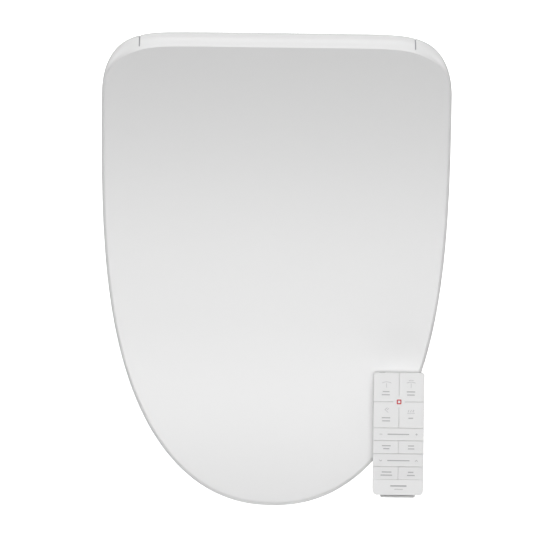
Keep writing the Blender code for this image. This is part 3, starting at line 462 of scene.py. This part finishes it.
def arc(centre, radius, start, end, steps):
    angles = [math.radians(start + (end - start) * i / steps) for i in range(steps + 1)]
    return [(centre[0] + radius * math.cos(a), centre[1] + radius * math.sin(a)) for a in angles]


def loft(rows):
    """A closed band of faces through rows of points of equal count."""
    bm = bmesh.new()
    grid = [[bm.verts.new(point) for point in row] for row in rows]
    count = len(rows[0])
    for lower, upper in zip(grid, grid[1:]):
        for i in range(count):
            j = (i + 1) % count
            bm.faces.new((lower[i], lower[j], upper[j], upper[i]))
    return bm, grid


def upright(bm):
    """Turns an open skin's faces outwards, with its top facing up."""
    bmesh.ops.recalc_face_normals(bm, faces=bm.faces)
    bm.normal_update()
    if sum(face.normal.z * face.calc_area() for face in bm.faces) < 0:
        bmesh.ops.reverse_faces(bm, faces=bm.faces)


# ---------------------------------------------------------------- lid

def lid_rows(loop):
    """Rows from the skirt's rim over the rounded edge, or the rear band, to just inside the crease."""
    normals = outward(loop)
    crease_y = LID_REAR_Y - BAND_WIDTH
    angles = [math.radians(90 - (90 - BAND_DEGREES) * i / EDGE_STEPS) for i in range(EDGE_STEPS + 1)]
    rows = [[] for _ in range(2 + len(angles) + len(CREASE_ROWS))]
    for (x, y), n in zip(loop, normals):
        band = smooth_step((y - BAND_START_Y) / BAND_SPREAD)
        inset = blend(EDGE_ROUND, BAND_WIDTH, band)
        drop = blend(EDGE_DROP, BAND_DROP, band)
        crease = lid_top(min(y - n.y * inset, crease_y))
        deepen = smooth_step((y - LID_FRONT_Y) / SKIRT_OVER)
        skirt = blend(SKIRT_FRONT, SKIRT_REAR, deepen) + BAND_SKIRT * band
        low = lid_top(min(y, crease_y)) - skirt
        rows[0].append((x, y, low))
        rows[1].append((x, y, low + RIM_STEP))
        for row, angle in zip(rows[2:], angles):
            reach = (math.sin(angle) - math.sin(BAND_TILT)) / (1 - math.sin(BAND_TILT))
            fall = (math.cos(BAND_TILT) - math.cos(angle)) / math.cos(BAND_TILT)
            inward = inset * (1 - reach)
            row.append((x - n.x * inward, y - n.y * inward, crease - drop * fall))
        for row, (extra, sink) in zip(rows[-len(CREASE_ROWS):], CREASE_ROWS):
            px, py = x - n.x * (inset + extra), y - n.y * (inset + extra)
            row.append((px, py, lid_top(py) - sink))
    return rows


def cap_lid(bm, loop, across=LID_ACROSS, bow=3.0):
    """Closes the top with strips that run from side to side, and one face where the rear edge is straight."""
    count = len(loop)
    straight = next(i for i in range(count) if loop[0].co.y - loop[i].co.y > bow)
    lines = {}
    for i in range(straight, count // 2):
        right, left = loop[i], loop[count - i]
        inner = []
        for k in range(1, across):
            point = right.co.lerp(left.co, k / across)
            point.z = lid_top(point.y)
            inner.append(bm.verts.new(point))
        lines[i] = [right] + inner + [left]
    bm.faces.new([loop[i] for i in range(-straight, straight)] + lines[straight][:-1])
    for i in range(straight, count // 2 - 1):
        for k in range(across):
            a, b = lines[i], lines[i + 1]
            bm.faces.new((a[k], b[k], b[k + 1], a[k + 1]))
    bm.faces.new([loop[count // 2]] + list(reversed(lines[count // 2 - 1])))


def make_lid():
    loop = mirrored_loop(resampled(lid_half_outline(), LID_STATIONS))
    bm, grid = loft(lid_rows(loop))
    cap_lid(bm, grid[-1])
    upright(bm)
    lid = new_piece("lid_moulding", bm, "lid_white", None)
    add_wall(lid, LID_SKIN)
    slits = []
    for side in (-1, 1):
        x = side * SLIT_X
        low = (x - SLIT_WIDTH / 2, LID_REAR_Y - SLIT_DEPTH, SLIT_LOW)
        high = (x + SLIT_WIDTH / 2, LID_REAR_Y + SLIT_PAST, SLIT_HIGH)
        slits.append(tool_box(f"slit_{side}", low, high))
    cut_with(lid, slits)
    shade_smooth_to(lid.data, 28)
    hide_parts("lid_shell")
    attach(lid, "lid")


def band_line(x):
    """Where the lid's outer skin crosses a plane of constant X, from the skirt to the front end of a slit."""
    line = []
    rear_from = LID_AXIS[0] - 20
    for row in lid_rows(mirrored_loop(resampled(lid_half_outline(), LID_STATIONS))):
        for a, b in zip(row, row[1:]):
            if a[1] > rear_from and min(a[0], b[0]) <= x < max(a[0], b[0]):
                line.append(Vector(a).lerp(Vector(b), (x - a[0]) / (b[0] - a[0])).yz)
        if line[-1].x < LID_REAR_Y - SLIT_DEPTH:
            break
    return line


def make_slit_shade_strips():
    """Grey strips set in the band's two slits, a little below its surface: painted shade standing for the
    dark inside of each slit.
    """
    line = band_line(SLIT_X)
    sunk, inner = [], []
    for i, point in enumerate(line):
        along = (line[min(i + 1, len(line) - 1)] - line[max(i - 1, 0)]).normalized()
        inward = Vector((-along.y, along.x))
        sunk.append(point + inward * SLIT_SHADE_SUNK)
        inner.append(point + inward * LID_SKIN)
    outline = sunk + list(reversed(inner))
    for side, word in SIDES:
        bm = bmesh.new()
        planes = [side * SLIT_X + offset for offset in (-SLIT_SHADE_WIDTH / 2, SLIT_SHADE_WIDTH / 2)]
        ends = [[bm.verts.new((x, y, z)) for y, z in outline] for x in planes]
        for i in range(len(outline)):
            j = (i + 1) % len(outline)
            bm.faces.new((ends[0][i], ends[0][j], ends[1][j], ends[1][i]))
        bm.faces.new(ends[0])
        bm.faces.new(ends[1])
        bmesh.ops.recalc_face_normals(bm, faces=bm.faces)
        # The strip's grey plastic is painted shade: the colour of the shaded slit
        new_piece(f"slit_shade_strip_{word}", bm, "grey_plastic", "lid")


def make_lid_buffers():
    """Soft pads under the lid, just clear of the seat's upper face."""
    for side, word in SIDES:
        for x, y, place in PAD_PLACES:
            high = lid_top(y) - LID_WALL - PAD_GAP
            bm = bmesh.new()
            middle = Matrix.Translation((side * x, y, high - PAD_MIDDLE))
            matrix = middle @ Matrix.Diagonal((1.0, PAD_STRETCH, 1, 1))
            bmesh.ops.create_cone(bm, cap_ends=True, segments=40, radius1=PAD_TIP_R, radius2=PAD_ROOT_R,
                                  depth=PAD_DEPTH, matrix=matrix)
            pad = new_piece(f"lid_buffer_{place}_{word}", bm, "rubber", "lid")
            round_edges(pad, 0.7, weld=False)


# ---------------------------------------------------------------- seat

def seat_half_outline():
    """Right half of the seat in plan: the lid's outline set in, closed by a straight rear edge."""
    rear, corner = SEAT_AXIS[0] + SEAT_REAR_R, SEAT_CORNER
    dense = resampled(lid_half_outline(), 300)
    inner = inset_loop(mirrored_loop(dense), SEAT_INSET)[: len(dense)]
    side = [p for p in inner if p[1] < rear - corner]
    turn_x = side[0][0] - corner
    bend = list(reversed(arc((turn_x, rear - corner), corner, 0, 90, 24)))
    return [(0.0, rear), (turn_x, rear)] + bend[1:] + side[:-1] + [(0.0, side[-1][1])]


def opening_half_outline(steps=300):
    """Right half of the opening, an oval that is blunter at the rear."""
    points = []
    for i in range(steps + 1):
        angle = math.pi * i / steps
        rear = angle < math.pi / 2
        reach = OPENING_REAR - OPENING_MIDDLE if rear else OPENING_MIDDLE - OPENING_FRONT
        power = OPENING_REAR_POWER if rear else OPENING_FRONT_POWER
        x = OPENING_HALF * abs(math.sin(angle)) ** power
        y = OPENING_MIDDLE + math.copysign(reach * abs(math.cos(angle)) ** power, math.cos(angle))
        points.append((x, y))
    return points


def seat_height(y, share=0.0):
    """Height of the seat's upper face, at this share of the way from its crown to the opening."""
    return lid_top(min(y, SEAT_AXIS[0])) - SEAT_DROP - SEAT_DISH * share * share


def seat_edge(y, turns):
    """The outer edge as (inward, height) steps: a rounded wall at the sides, a rolled bar at the rear."""
    rear = smooth_step((y - SEAT_LIFT_FROM) / SEAT_LIFT_OVER)
    low = seat_height(y) - SEAT_ROUND_DROP
    wall = [(0.0, SEAT_LOW)]
    wall += [(SEAT_ROUND * (1 - math.cos(a)), low + SEAT_ROUND_DROP * math.sin(a)) for a in turns]
    last = len(wall) - 1
    roll = [math.pi * i / last for i in range(len(wall))]
    rolled = [(SEAT_REAR_R * (1 - math.sin(a)), SEAT_AXIS[1] - SEAT_REAR_R * math.cos(a)) for a in roll]
    return [(blend(d0, d1, rear), blend(z0, z1, rear)) for (d0, z0), (d1, z1) in zip(wall, rolled)]


def make_seat():
    loop = mirrored_loop(resampled(seat_half_outline(), SEAT_STATIONS))
    hole = mirrored_loop(resampled(opening_half_outline(), SEAT_STATIONS))
    turns = [math.radians(90 * i / SEAT_ROUND_STEPS) for i in range(SEAT_ROUND_STEPS + 1)]
    shares = (0.10, 0.24, 0.38, 0.52, 0.66, 0.78)
    rows = [[] for _ in range(1 + len(turns) + len(shares) + len(turns) + 1)]
    for (x, y), n, (hx, hy) in zip(loop, outward(loop), hole):
        column = [(x - n.x * inward, y - n.y * inward, z) for inward, z in seat_edge(y, turns)]
        start, end = Vector(column[-1][:2]), Vector((hx, hy))
        reach = (end - start).length
        for share in shares:
            point = start.lerp(end, share)
            column.append((point.x, point.y, seat_height(point.y, share)))
        for a in turns:
            share = 1 - SEAT_LIP * (1 - math.sin(a)) / reach
            point = start.lerp(end, share)
            fall = SEAT_LIP * (1 - math.cos(a))
            column.append((point.x, point.y, seat_height(point.y, share) - fall))
        column.append((hx, hy, SEAT_LOW))
        for row, point in zip(rows, column):
            row.append(point)
    bm, _ = loft(rows)
    upright(bm)
    seat = new_piece("seat_moulding", bm, "white_gloss", None)
    add_wall(seat, SEAT_WALL)
    notches = []
    for side in (-1, 1):
        inner, outer = sorted((side * NOTCH_IN, side * NOTCH_OUT))
        low, high = (inner, NOTCH_Y[0], NOTCH_Z[0]), (outer, NOTCH_Y[1], NOTCH_Z[1])
        notches.append(tool_box(f"notch_{side}", low, high))
    cut_with(seat, notches)
    shade_smooth_to(seat.data, 38)
    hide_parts("seat_top")
    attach(seat, "seat")


# ---------------------------------------------------------------- remote prints

def remote_place():
    """From the remote's own frame, with Z out of its face, to the row frame in millimetres."""
    x, y = REMOTE_AT
    slope = Matrix.Rotation(math.atan(LID_SLOPE), 4, "X")
    return Matrix.Translation((x, y, lid_top(y))) @ slope


def ribbon(bm, points, width, place, low, high, closed=False):
    """A thin raised line of constant width along flat points, with mitred turns."""
    count, corners = len(points), []
    for i, point in enumerate(points):
        here, ways = Vector(point), []
        if i or closed:
            ways.append((here - Vector(points[i - 1])).normalized())
        if i < count - 1 or closed:
            ways.append((Vector(points[(i + 1) % count]) - here).normalized())
        mean = sum(ways, Vector((0, 0))).normalized()
        normal, square = Vector((-mean.y, mean.x)), Vector((-ways[0].y, ways[0].x))
        reach = normal * width / 2 / max(0.4, normal.dot(square))
        left, right = here + reach, here - reach
        section = ((left, low), (right, low), (right, high), (left, high))
        corners.append([bm.verts.new(place @ Vector((*point, z))) for point, z in section])
    for i in range(count if closed else count - 1):
        a, b = corners[i], corners[(i + 1) % count]
        for k in range(4):
            bm.faces.new((a[k], a[(k + 1) % 4], b[(k + 1) % 4], b[k]))
    if not closed:
        bm.faces.new(list(reversed(corners[0])))
        bm.faces.new(corners[-1])


def bar(left, right, v):
    """A level line at height v."""
    return [(left, v), (right, v)]


def spray(u, v, fan, rise):
    """Curved line of water over a wand, with its ends turned down."""
    return [(u + fan * t, v - rise * t * t) for t in (-1.0, -0.7, -0.4, 0.0, 0.4, 0.7, 1.0)]


def warm_air(u):
    """One of the wavy lines in the dryer's icon."""
    return [(u, 24.1), (u - 0.6, 24.9), (u + 0.5, 25.8), (u, 26.6)]


# Printed lines on the keys by body, as width and points: u to the right, v up, from the remote's middle
ICON, WORD, SIGN = 0.42, 1.1, 0.55
PRINTS = {
    "rear_wash_key": [(ICON, spray(-13.8, 56.9, 5.0, 1.2)), (ICON, [(-13.8, 55.4), (-13.8, 50.7)]),
                      (WORD, bar(-17.9, -10.6, 46.2)), (WORD, bar(-18.9, -10.2, 42.8))],
    "turbo_wash_key": [(ICON, spray(12.9, 59.0, 2.6, 0.6)), (ICON, spray(12.9, 56.9, 4.8, 1.2)),
                       (ICON, [(12.9, 55.4), (12.9, 50.7)]),
                       (WORD, bar(8.2, 17.4, 46.2)), (WORD, bar(8.7, 16.9, 42.8))],
    "front_wash_key": [(ICON, [(-12.6, 28.8), (-15.3, 26.6), (-11.7, 23.3)]),
                       (ICON, [(-10.8, 28.1), (-13.2, 26.2)]),
                       (WORD, bar(-18.6, -9.4, 17.7)), (WORD, bar(-18.1, -9.7, 14.3))],
    "dryer_key": [(ICON, bar(9.0, 17.2, 23.0))] + [(ICON, warm_air(u)) for u in (10.5, 13.1, 15.7)]
                 + [(WORD, bar(10.4, 15.5, 17.5))],
    "pressure_rocker": [(SIGN, bar(-20.9, -17.7, -0.2)), (WORD, bar(-12.0, 11.4, -0.2)),
                        (SIGN, bar(18.2, 20.8, -0.2)), (SIGN, [(19.5, -1.5), (19.5, 1.1)])],
    "water_heat_key": [(WORD, bar(-18.0, -8.5, -12.8)), (WORD, bar(-16.6, -9.9, -16.0))],
    "seat_heat_key": [(WORD, bar(10.4, 16.9, -12.8)), (WORD, bar(10.4, 17.3, -16.0))],
    "position_rocker": [(SIGN, [(-20.8, -28.2), (-19.3, -29.7), (-17.8, -28.2)]),
                        (WORD, bar(-12.0, 12.2, -28.9)),
                        (SIGN, [(18.2, -29.7), (19.7, -28.2), (21.2, -29.7)])],
    "wand_clean_key": [(WORD, bar(-17.8, -7.3, -41.5)), (WORD, bar(-19.2, -6.6, -44.9))],
    "eco_key": [(WORD, bar(10.6, 16.6, -41.5)), (WORD, bar(9.7, 18.0, -44.9))],
}


def make_prints():
    """Pad printing on the keys: an icon and short plain bars in place of words."""
    place = remote_place()
    low, high = REMOTE_TOP - PRINT_SUNK, REMOTE_TOP + PRINT_RAISED
    for body, lines in PRINTS.items():
        bm = bmesh.new()
        for width, points in lines:
            ribbon(bm, points, width, place, low, high)
        bmesh.ops.recalc_face_normals(bm, faces=bm.faces)
        new_piece(body + "_print", bm, "print_grey", body)
    make_stop_print(place, low, high)
    make_face_print(place)


def make_stop_print(place, low, high, half=1.95, corner=0.2, width=1.25):
    """Red rounded square on the stop key."""
    stop_v = REMOTE_SIZE[1] / 2 - KEY_ROWS[0]
    inner = half * (1 - corner)
    centres = ((inner, inner, 0), (-inner, inner, 90), (-inner, -inner, 180), (inner, -inner, 270))
    square = [p for u, v, start in centres
              for p in arc((u, stop_v + v), half * corner, start, start + 90, 4)]
    bm = bmesh.new()
    ribbon(bm, square, width, place, low, high, closed=True)
    bmesh.ops.recalc_face_normals(bm, faces=bm.faces)
    new_piece("stop_key_print", bm, "print_red", "stop_key")


def make_face_print(place):
    """Two plain bars on the blank area, which lies a little below the keys."""
    low, high = REMOTE_TOP - 0.13, REMOTE_TOP - 0.05
    bm = bmesh.new()
    ribbon(bm, bar(-8.3, 9.3, -56.6), 1.5, place, low, high)
    ribbon(bm, bar(-4.0, 5.4, -60.2), 0.6, place, low, high)
    bmesh.ops.recalc_face_normals(bm, faces=bm.faces)
    new_piece("remote_face_print", bm, "print_grey", "remote")


def make_key_web():
    """Soft light web that fills the grooves between the keys to just under their tops."""
    place = remote_place()
    half_w, half_l = REMOTE_SIZE[0] / 2 - WEB_SHORT, REMOTE_SIZE[1] / 2
    low, high = REMOTE_TOP - WEB_DEEP, REMOTE_TOP - WEB_SUNK
    rows = [half_l - sum(KEY_ROWS[: i + 1]) for i in range(len(KEY_ROWS))]
    bm = bmesh.new()
    for side in (-1, 1):
        ribbon(bm, bar(side * STOP_CLEAR, side * half_w, rows[0]), WEB_WIDTH, place, low, high)
    for v in rows[1:]:
        ribbon(bm, bar(-half_w, half_w, v), WEB_WIDTH, place, low, high)
    columns = (
        (half_l - 0.4, rows[0] + STOP_CLEAR),
        (rows[0] - STOP_CLEAR, rows[1] + WEB_WIDTH),
        (rows[2] - WEB_WIDTH, rows[3] + WEB_WIDTH),
        (rows[4] - WEB_WIDTH, rows[5] + WEB_WIDTH),
    )
    for top, bottom in columns:
        ribbon(bm, [(0.0, top), (0.0, bottom)], WEB_WIDTH, place, low, high)
    circle = arc((0.0, rows[0]), STOP_RING, 0, 360 * 63 / 64, 63)
    ribbon(bm, circle, STOP_RING_WIDTH, place, low, REMOTE_TOP - STOP_RING_SUNK, closed=True)
    bmesh.ops.recalc_face_normals(bm, faces=bm.faces)
    new_piece("key_web", bm, "key_white", "remote")


def make_remote_window():
    """Dark lens at the remote's top end."""
    middle, size = (-18.5, REMOTE_SIZE[1] / 2 - 0.6, 7.6), (7.0, 1.5, 2.2)
    bm = bmesh.new()
    matrix = remote_place() @ Matrix.Translation(middle) @ Matrix.Diagonal((*size, 1))
    bmesh.ops.create_cube(bm, size=1.0, matrix=matrix)
    lens = new_piece("remote_lens", bm, "smoke", "remote")
    round_edges(lens, 0.45, weld=False)


# ---------------------------------------------------------------- fixings and side prints

def make_screw(name, x, y, high, body, radius):
    """Round screw head with a cross recess, facing down from the given height."""
    bm = bmesh.new()
    profile = [(radius, 0.0), (radius, -0.5), (radius * 0.8, -1.0), (radius * 0.45, -1.25)]
    steps, rings = 32, []
    for r, z in profile:
        turns = [2 * math.pi * i / steps for i in range(steps)]
        rings.append([bm.verts.new((x + r * math.cos(a), y + r * math.sin(a), high + z)) for a in turns])
    bm.faces.new(rings[0])
    for a, b in zip(rings, rings[1:]):
        for i in range(steps):
            j = (i + 1) % steps
            bm.faces.new((a[i], b[i], b[j], a[j]))
    bm.faces.new(rings[-1])
    bmesh.ops.recalc_face_normals(bm, faces=bm.faces)
    screw = new_piece(name, bm, "steel", None)
    reach, half = radius * 0.62, radius * 0.13
    low, deep = high - 3, high - 0.55
    cut_with(screw, [
        tool_box(name + "_a", (x - reach, y - half, low), (x + reach, y + half, deep)),
        tool_box(name + "_b", (x - half, y - reach, low), (x + half, y + reach, deep)),
    ])
    shade_smooth_to(screw.data, 35)
    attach(screw, body)


def make_bolt(name, x, y):
    """Hexagonal bolt head in the mounting plate's slot, with the start of its shank below."""
    bm = bmesh.new()
    bmesh.ops.create_cone(bm, cap_ends=True, segments=6, radius1=4.1, radius2=4.1, depth=3.4,
                          matrix=Matrix.Translation((x, y, 3.9)))
    bmesh.ops.create_cone(bm, cap_ends=True, segments=36, radius1=2.6, radius2=3.0, depth=2.0,
                          matrix=Matrix.Translation((x, y, 1.5)))
    bolt = new_piece(name, bm, "steel", "housing", sharp=30)
    round_edges(bolt, 0.25, weld=False)


def make_fixings():
    """Screws under the housing and the seat, and the two bolts of the mounting plate."""
    for i, (x, y) in enumerate(BASE_SCREWS):
        make_screw(f"base_screw_{i + 1}", x, y, BASE_SCREW_Z, "housing", BASE_SCREW_R)
    for i, (x, y) in enumerate(SEAT_SCREWS):
        for side, word in SIDES:
            make_screw(f"seat_screw_{i + 1}_{word}", side * x, y, SEAT_SCREW_Z, "seat", SEAT_SCREW_R)
    for side, word in SIDES:
        make_bolt(f"fixing_bolt_{word}", side * BOLT_X, BOLT_Y)


# Lines on the two buttons in the left wing: the button's Y, then each line and whether it closes
POWER_MARK = ((arc((0, 0), 1.9, 125, 415, 20), False), ([(0.0, 0.5), (0.0, 2.6)], False))
DROP_MARK = (([(0.0, 2.6)] + arc((0, -0.7), 1.7, 145, 395, 18), True),)
SIDE_PRINTS = {"power_button": (160.0, POWER_MARK), "wash_button": (180.0, DROP_MARK)}


def make_side_prints():
    """Power and drop marks on the two buttons in the left wing."""
    for body, (y, lines) in SIDE_PRINTS.items():
        low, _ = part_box(body)
        face = Matrix(((0, 0, -1, low.x / MM), (-1, 0, 0, y), (0, 1, 0, SIDE_PRINT_Z), (0, 0, 0, 1)))
        bm = bmesh.new()
        for points, closed in lines:
            ribbon(bm, points, SIDE_PRINT_WIDTH, face, -PRINT_SUNK, PRINT_RAISED, closed=closed)
        bmesh.ops.recalc_face_normals(bm, faces=bm.faces)
        new_piece(body + "_print", bm, "white_satin", body)


# ---------------------------------------------------------------- carried-over pieces

def node_look(entry, is_key):
    """The look of a carried-over piece: its slot's, but for the keys and the dock."""
    if is_key:
        return "key_white"
    if entry["node"] == "remote_dock":
        return "white_satin"
    return entry["material_slot"]


def dress_nodes():
    """Gives every carried-over piece its slot's finish and small rounded edges."""
    for entry in frame["record"]["subparts"]:
        name = entry["node"]
        node = frame["nodes"][name]
        if node.hide_render:
            continue
        is_key = name.endswith(("_key", "_rocker"))
        paint(node, node_look(entry, is_key))
        width = ROUNDINGS.get(name, KEY_ROUNDING if is_key else PLAIN_ROUNDING)
        if width:
            round_edges(node, width, segments=2 if width < 0.5 else 3)


# ---------------------------------------------------------------- stage

def area_light(name, place, aim, size, power):
    """White softbox, wide by deep, that the camera doesn't see."""
    lamp = bpy.data.lights.new(name, "AREA")
    lamp.shape = "RECTANGLE"
    lamp.size, lamp.size_y = size
    lamp.energy = power
    thing = bpy.data.objects.new(name, lamp)
    thing.location = place
    thing.rotation_euler = (Vector(aim) - Vector(place)).to_track_quat("-Z", "Y").to_euler()
    thing.visible_camera = False
    bpy.context.scene.collection.objects.link(thing)


def arc_light(name, distance, degrees, size, power):
    """Softbox aimed at the lid's middle, this many degrees from straight above towards the rear."""
    turn = math.radians(degrees)
    place = (0.0, distance * math.sin(turn), distance * math.cos(turn) + LID_MIDDLE_Z)
    area_light(name, place, (0.0, 0.0, LID_MIDDLE_Z), size, power)


def make_lights():
    """Softboxes along the lid's length, then the fill in front and at the sides."""
    area_light("near_front", place=(0.0, -0.26, 0.64), aim=(0.0, -0.26, 0.0), size=(1.1, 0.2), power=0.53)
    area_light("near_middle", place=(0.0, -0.15, 0.6), aim=(0.0, -0.15, 0.0), size=(1.1, 0.2), power=1.0)
    arc_light("high_front", distance=3.0, degrees=-9.0, size=(2.6, 0.42), power=9.3)
    arc_light("high_rear", distance=3.0, degrees=38.5, size=(2.6, 1.73), power=36.5)
    arc_light("low_rear", distance=2.0, degrees=74.0, size=(1.8, 0.8), power=9.0)
    area_light("front_fill", place=(0.0, -2.6, 0.45), aim=(0.0, 0.0, 0.15), size=(2.4, 0.7), power=24.0)
    for side, word in SIDES:
        area_light(f"side_{word}", place=(side * 1.8, 0.0, 0.9), aim=(0.0, 0.0, 0.05), size=(0.6, 2.0),
                   power=1.6)
        area_light(f"corner_{word}", place=(side * 1.5, 1.3, 0.62), aim=(side * 0.1, 0.2, 0.06),
                   size=(1.0, 0.6), power=6.75)


def make_world(scene):
    """Dim studio above, and below the horizon the light that a white floor would return."""
    world = bpy.data.worlds.new("studio")
    world.use_nodes = True
    nodes, links = world.node_tree.nodes, world.node_tree.links
    place = nodes.new("ShaderNodeTexCoord")
    split = nodes.new("ShaderNodeSeparateXYZ")
    ramp = nodes.new("ShaderNodeValToRGB")
    height = nodes.new("ShaderNodeMapRange")
    height.inputs["From Min"].default_value = -1.0
    links.new(place.outputs["Generated"], split.inputs[0])
    links.new(split.outputs["Z"], height.inputs["Value"])
    links.new(height.outputs["Result"], ramp.inputs["Fac"])
    ramp.color_ramp.elements[0].position = 0.49
    ramp.color_ramp.elements[0].color = (*[WORLD_LOW] * 3, 1)
    ramp.color_ramp.elements[1].position = 0.51
    ramp.color_ramp.elements[1].color = (*[WORLD_HIGH] * 3, 1)
    links.new(ramp.outputs["Color"], nodes["Background"].inputs["Color"])
    scene.world = world


def camera_only(thing, name, glow):
    """Marks a stage piece that shows pale behind the object and sends no light to it."""
    material = shade(name, (0.9, 0.9, 0.9), 0.9, tone=0.01, grain=40)
    shader = material.node_tree.nodes["Principled BSDF"]
    shader.inputs["Emission Color"].default_value = (1, 1, 1, 1)
    shader.inputs["Emission Strength"].default_value = glow
    thing.data.materials.clear()
    thing.data.materials.append(material)
    for ray in ("diffuse", "glossy", "shadow", "transmission"):
        setattr(thing, "visible_" + ray, False)


def make_stage():
    """Floor and backdrop far enough out to hold every view, lights, and the camera above the lid."""
    scene = bpy.context.scene
    scene.view_settings.view_transform = "Standard"
    make_world(scene)

    bm = bmesh.new()
    bmesh.ops.create_circle(bm, cap_ends=True, segments=96, radius=STAGE_REACH / MM)
    floor = new_piece("floor", bm, "white_satin", None)
    floor.location.z = FLOOR_Z
    camera_only(floor, "studio_floor", FLOOR_GLOW)
    bm = bmesh.new()
    bmesh.ops.create_uvsphere(bm, u_segments=64, v_segments=32, radius=BACKDROP_REACH / MM)
    bmesh.ops.reverse_faces(bm, faces=bm.faces)
    camera_only(new_piece("backdrop", bm, "white_satin", None), "studio_backdrop", BACKDROP_GLOW)
    make_lights()

    camera = bpy.data.objects.new("camera", bpy.data.cameras.new("camera"))
    camera.data.lens = CAMERA_LENS
    camera.data.sensor_width = 36.0
    camera.location = CAMERA_AT
    camera.rotation_euler = (0, 0, CAMERA_TURN)
    scene.collection.objects.link(camera)
    scene.camera = camera


make_lid()
make_slit_shade_strips()
make_lid_buffers()
make_seat()
make_prints()
make_key_web()
make_remote_window()
make_fixings()
make_side_prints()
dress_nodes()
make_stage()
